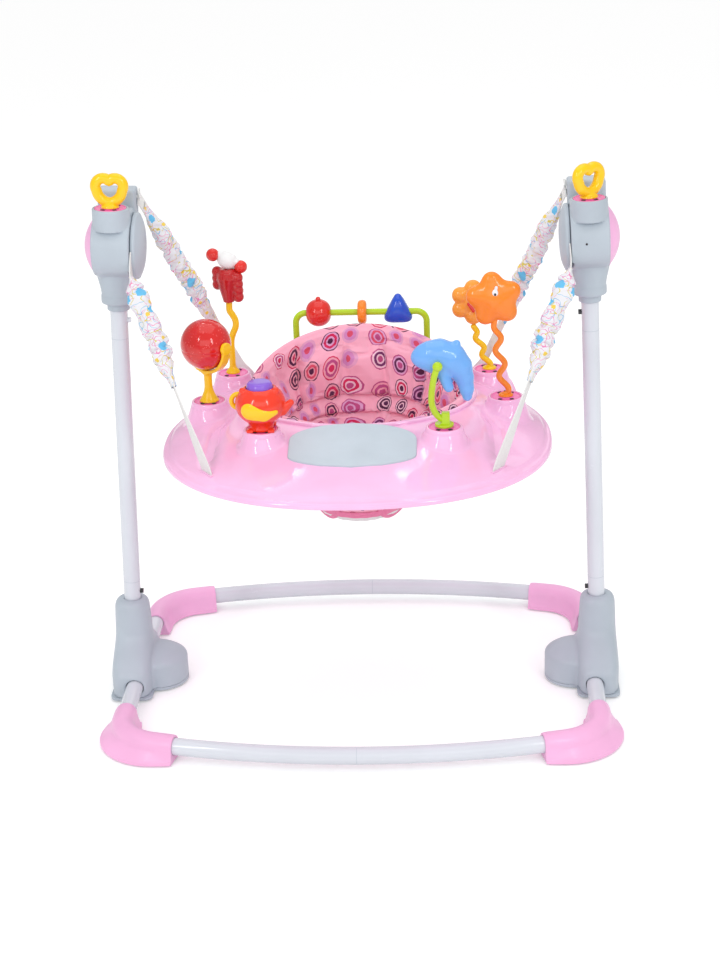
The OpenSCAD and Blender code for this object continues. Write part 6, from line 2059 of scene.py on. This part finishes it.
        def form(p: Array) -> Array:
            """Distance to the body along its spine, flattened sideways, with a back fin and side fins."""
            q = p * np.array([1, 1.2, 1])
            parts = [rod(q, (a[0], 0, a[1]), (b[0], 0, b[1]), a[2], b[2]) for a, b in zip(spine, spine[1:])]
            body = parts[0]
            for part in parts[1:]:
                body = melt(body, part, 6.0)
            body = melt(body, rod(q, (22, 0, 18), (27, 0, 25), 9, 5.5), 4.0)
            for _, side in SIDES:
                body = melt(body, rod(q, (6, side * 14, -12), (15, side * 19, -34), 9, 7), 5.0)
            return body

        stem = joined(sweep(smooth_path(bends, 90), 4.7), globe(7.2, 20, 36).shifted(*bends[-1]),
                      moulded(stub, (-16, -16, -1), (16, 16, 24), 1.2))
        skin = moulded(form, (-40, -36, -66), (56, 36, 40), 1.6)
        self.put((*PLAN.cups[0], PLAN.cup_z), ("dolphin_stem", stem, Look.LIME, "tray", "dolphin_post"))
        self.put(self.dolphin_at, ("dolphin_toy", skin, Look.BLUE, "dolphin", "dolphin"))

    def wave(self, high: float, swing: float, lean: float, turns: float) -> Shape:
        """A wavy post on its foot: a sine whose swing dies out at the top, with a steady lean inwards.

        Args:
            high: height of the post.
            swing: how far it sways to each side.
            lean: how far its top stands inwards.
            turns: number of waves.

        Returns:
            Post and foot.
        """
        t = np.linspace(0, 1, 110)
        x = -lean * t + swing * np.sin(FULL * turns * t) * np.minimum(1, 5 * (1 - t))
        line = stacked(x, 0 * t, 0.5 + high * t)
        return joined(sweep(line, self.wave_r), self.foot(self.low_foot))

    def star(self) -> None:
        """Puffy orange star with a white eye, on an orange wavy post."""
        def form(p: Array) -> Array:
            """Distance to five round arms melted into a round middle, flattened front to back."""
            q = p * np.array([1, 1.35, 1])
            body = egg(q, (0, 0, 0), (32, 18, 32))
            for a in np.radians(26 + 72 * np.arange(5)):
                body = melt(body, rod(q, (0, 0, 0), (29 * np.cos(a), 0, 29 * np.sin(a)), 17, 12), 8.0)
            return body

        def eye(p: Array) -> Array:
            """Distance to the eye: a drop with its thin end up."""
            return melt(egg(p, (1, -13, 12), (4.6, 2.4, 6)), ball(p, (3, -13, 21), 1.8), 4.0)

        def pupil(p: Array) -> Array:
            """Distance to the eye's dark middle."""
            return egg(p, (1, -15.2, 11), (1.7, 1.0, 2.2))

        post = self.wave(118, 5.5, 16, 3)
        star = moulded(form, (-48, -22, -48), (48, 22, 48), 1.7)
        self.put((*PLAN.cups[1], PLAN.cup_z), ("star_post", post, Look.ORANGE, "tray", "wavy_posts"))
        self.put(self.star_at, ("star_toy", star, Look.ORANGE, "star", "star"),
                 ("star_eye", moulded(eye, (-8, -18, 3), (10, -8, 26), 0.8), Look.WHITE, "star"),
                 ("star_pupil", moulded(pupil, (-3, -18, 7), (5, -12, 15), 0.4), Look.SHADOW, "star"))

    def flower(self) -> None:
        """Yellow-orange flower with a red middle, on a yellow wavy post."""
        def form(p: Array) -> Array:
            """Distance to six round petals melted together, flattened front to back."""
            q = p * np.array([1, 1.3, 1])
            body = ball(q, (0, 0, 0), 15)
            for a in np.radians(30 + 60 * np.arange(6)):
                body = melt(body, ball(q, (22 * np.cos(a), 0, 22 * np.sin(a)), 13), 4.0)
            return body

        def middle(p: Array) -> Array:
            """Distance to the red middle: a diamond with round edges on the front."""
            q = np.abs(p + np.array([0, 9.0, 0]))
            return np.maximum((q[..., 0] / 8 + q[..., 2] / 12 - 1) * 6.5, q[..., 1] - 2.5) - 1.2

        post = self.wave(68, 4, 24, 2.5)
        flower = moulded(form, (-42, -20, -42), (42, 20, 42), 1.6)
        self.put((*PLAN.cups[2], PLAN.cup_z), ("flower_post", post, Look.YELLOW, "tray", "wavy_posts"))
        self.put(self.flower_at, ("flower_toy", flower, Look.AMBER, "flower", "flower"),
                 ("flower_core", moulded(middle, (-14, -17, -18), (14, 0, 18), 1.0), Look.RED, "flower"))


def main() -> None:
    """Builds the jumper's pieces in order."""
    logging.basicConfig(level=logging.INFO, format="%(message)s")
    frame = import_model()
    nodes = frame["nodes"]
    Stage().build()
    Stand().build(nodes)
    Heads().build(nodes)
    Straps().build()
    Tray().build(nodes)
    Seat().build()
    Toys().build()


if __name__ == "__main__":
    main()
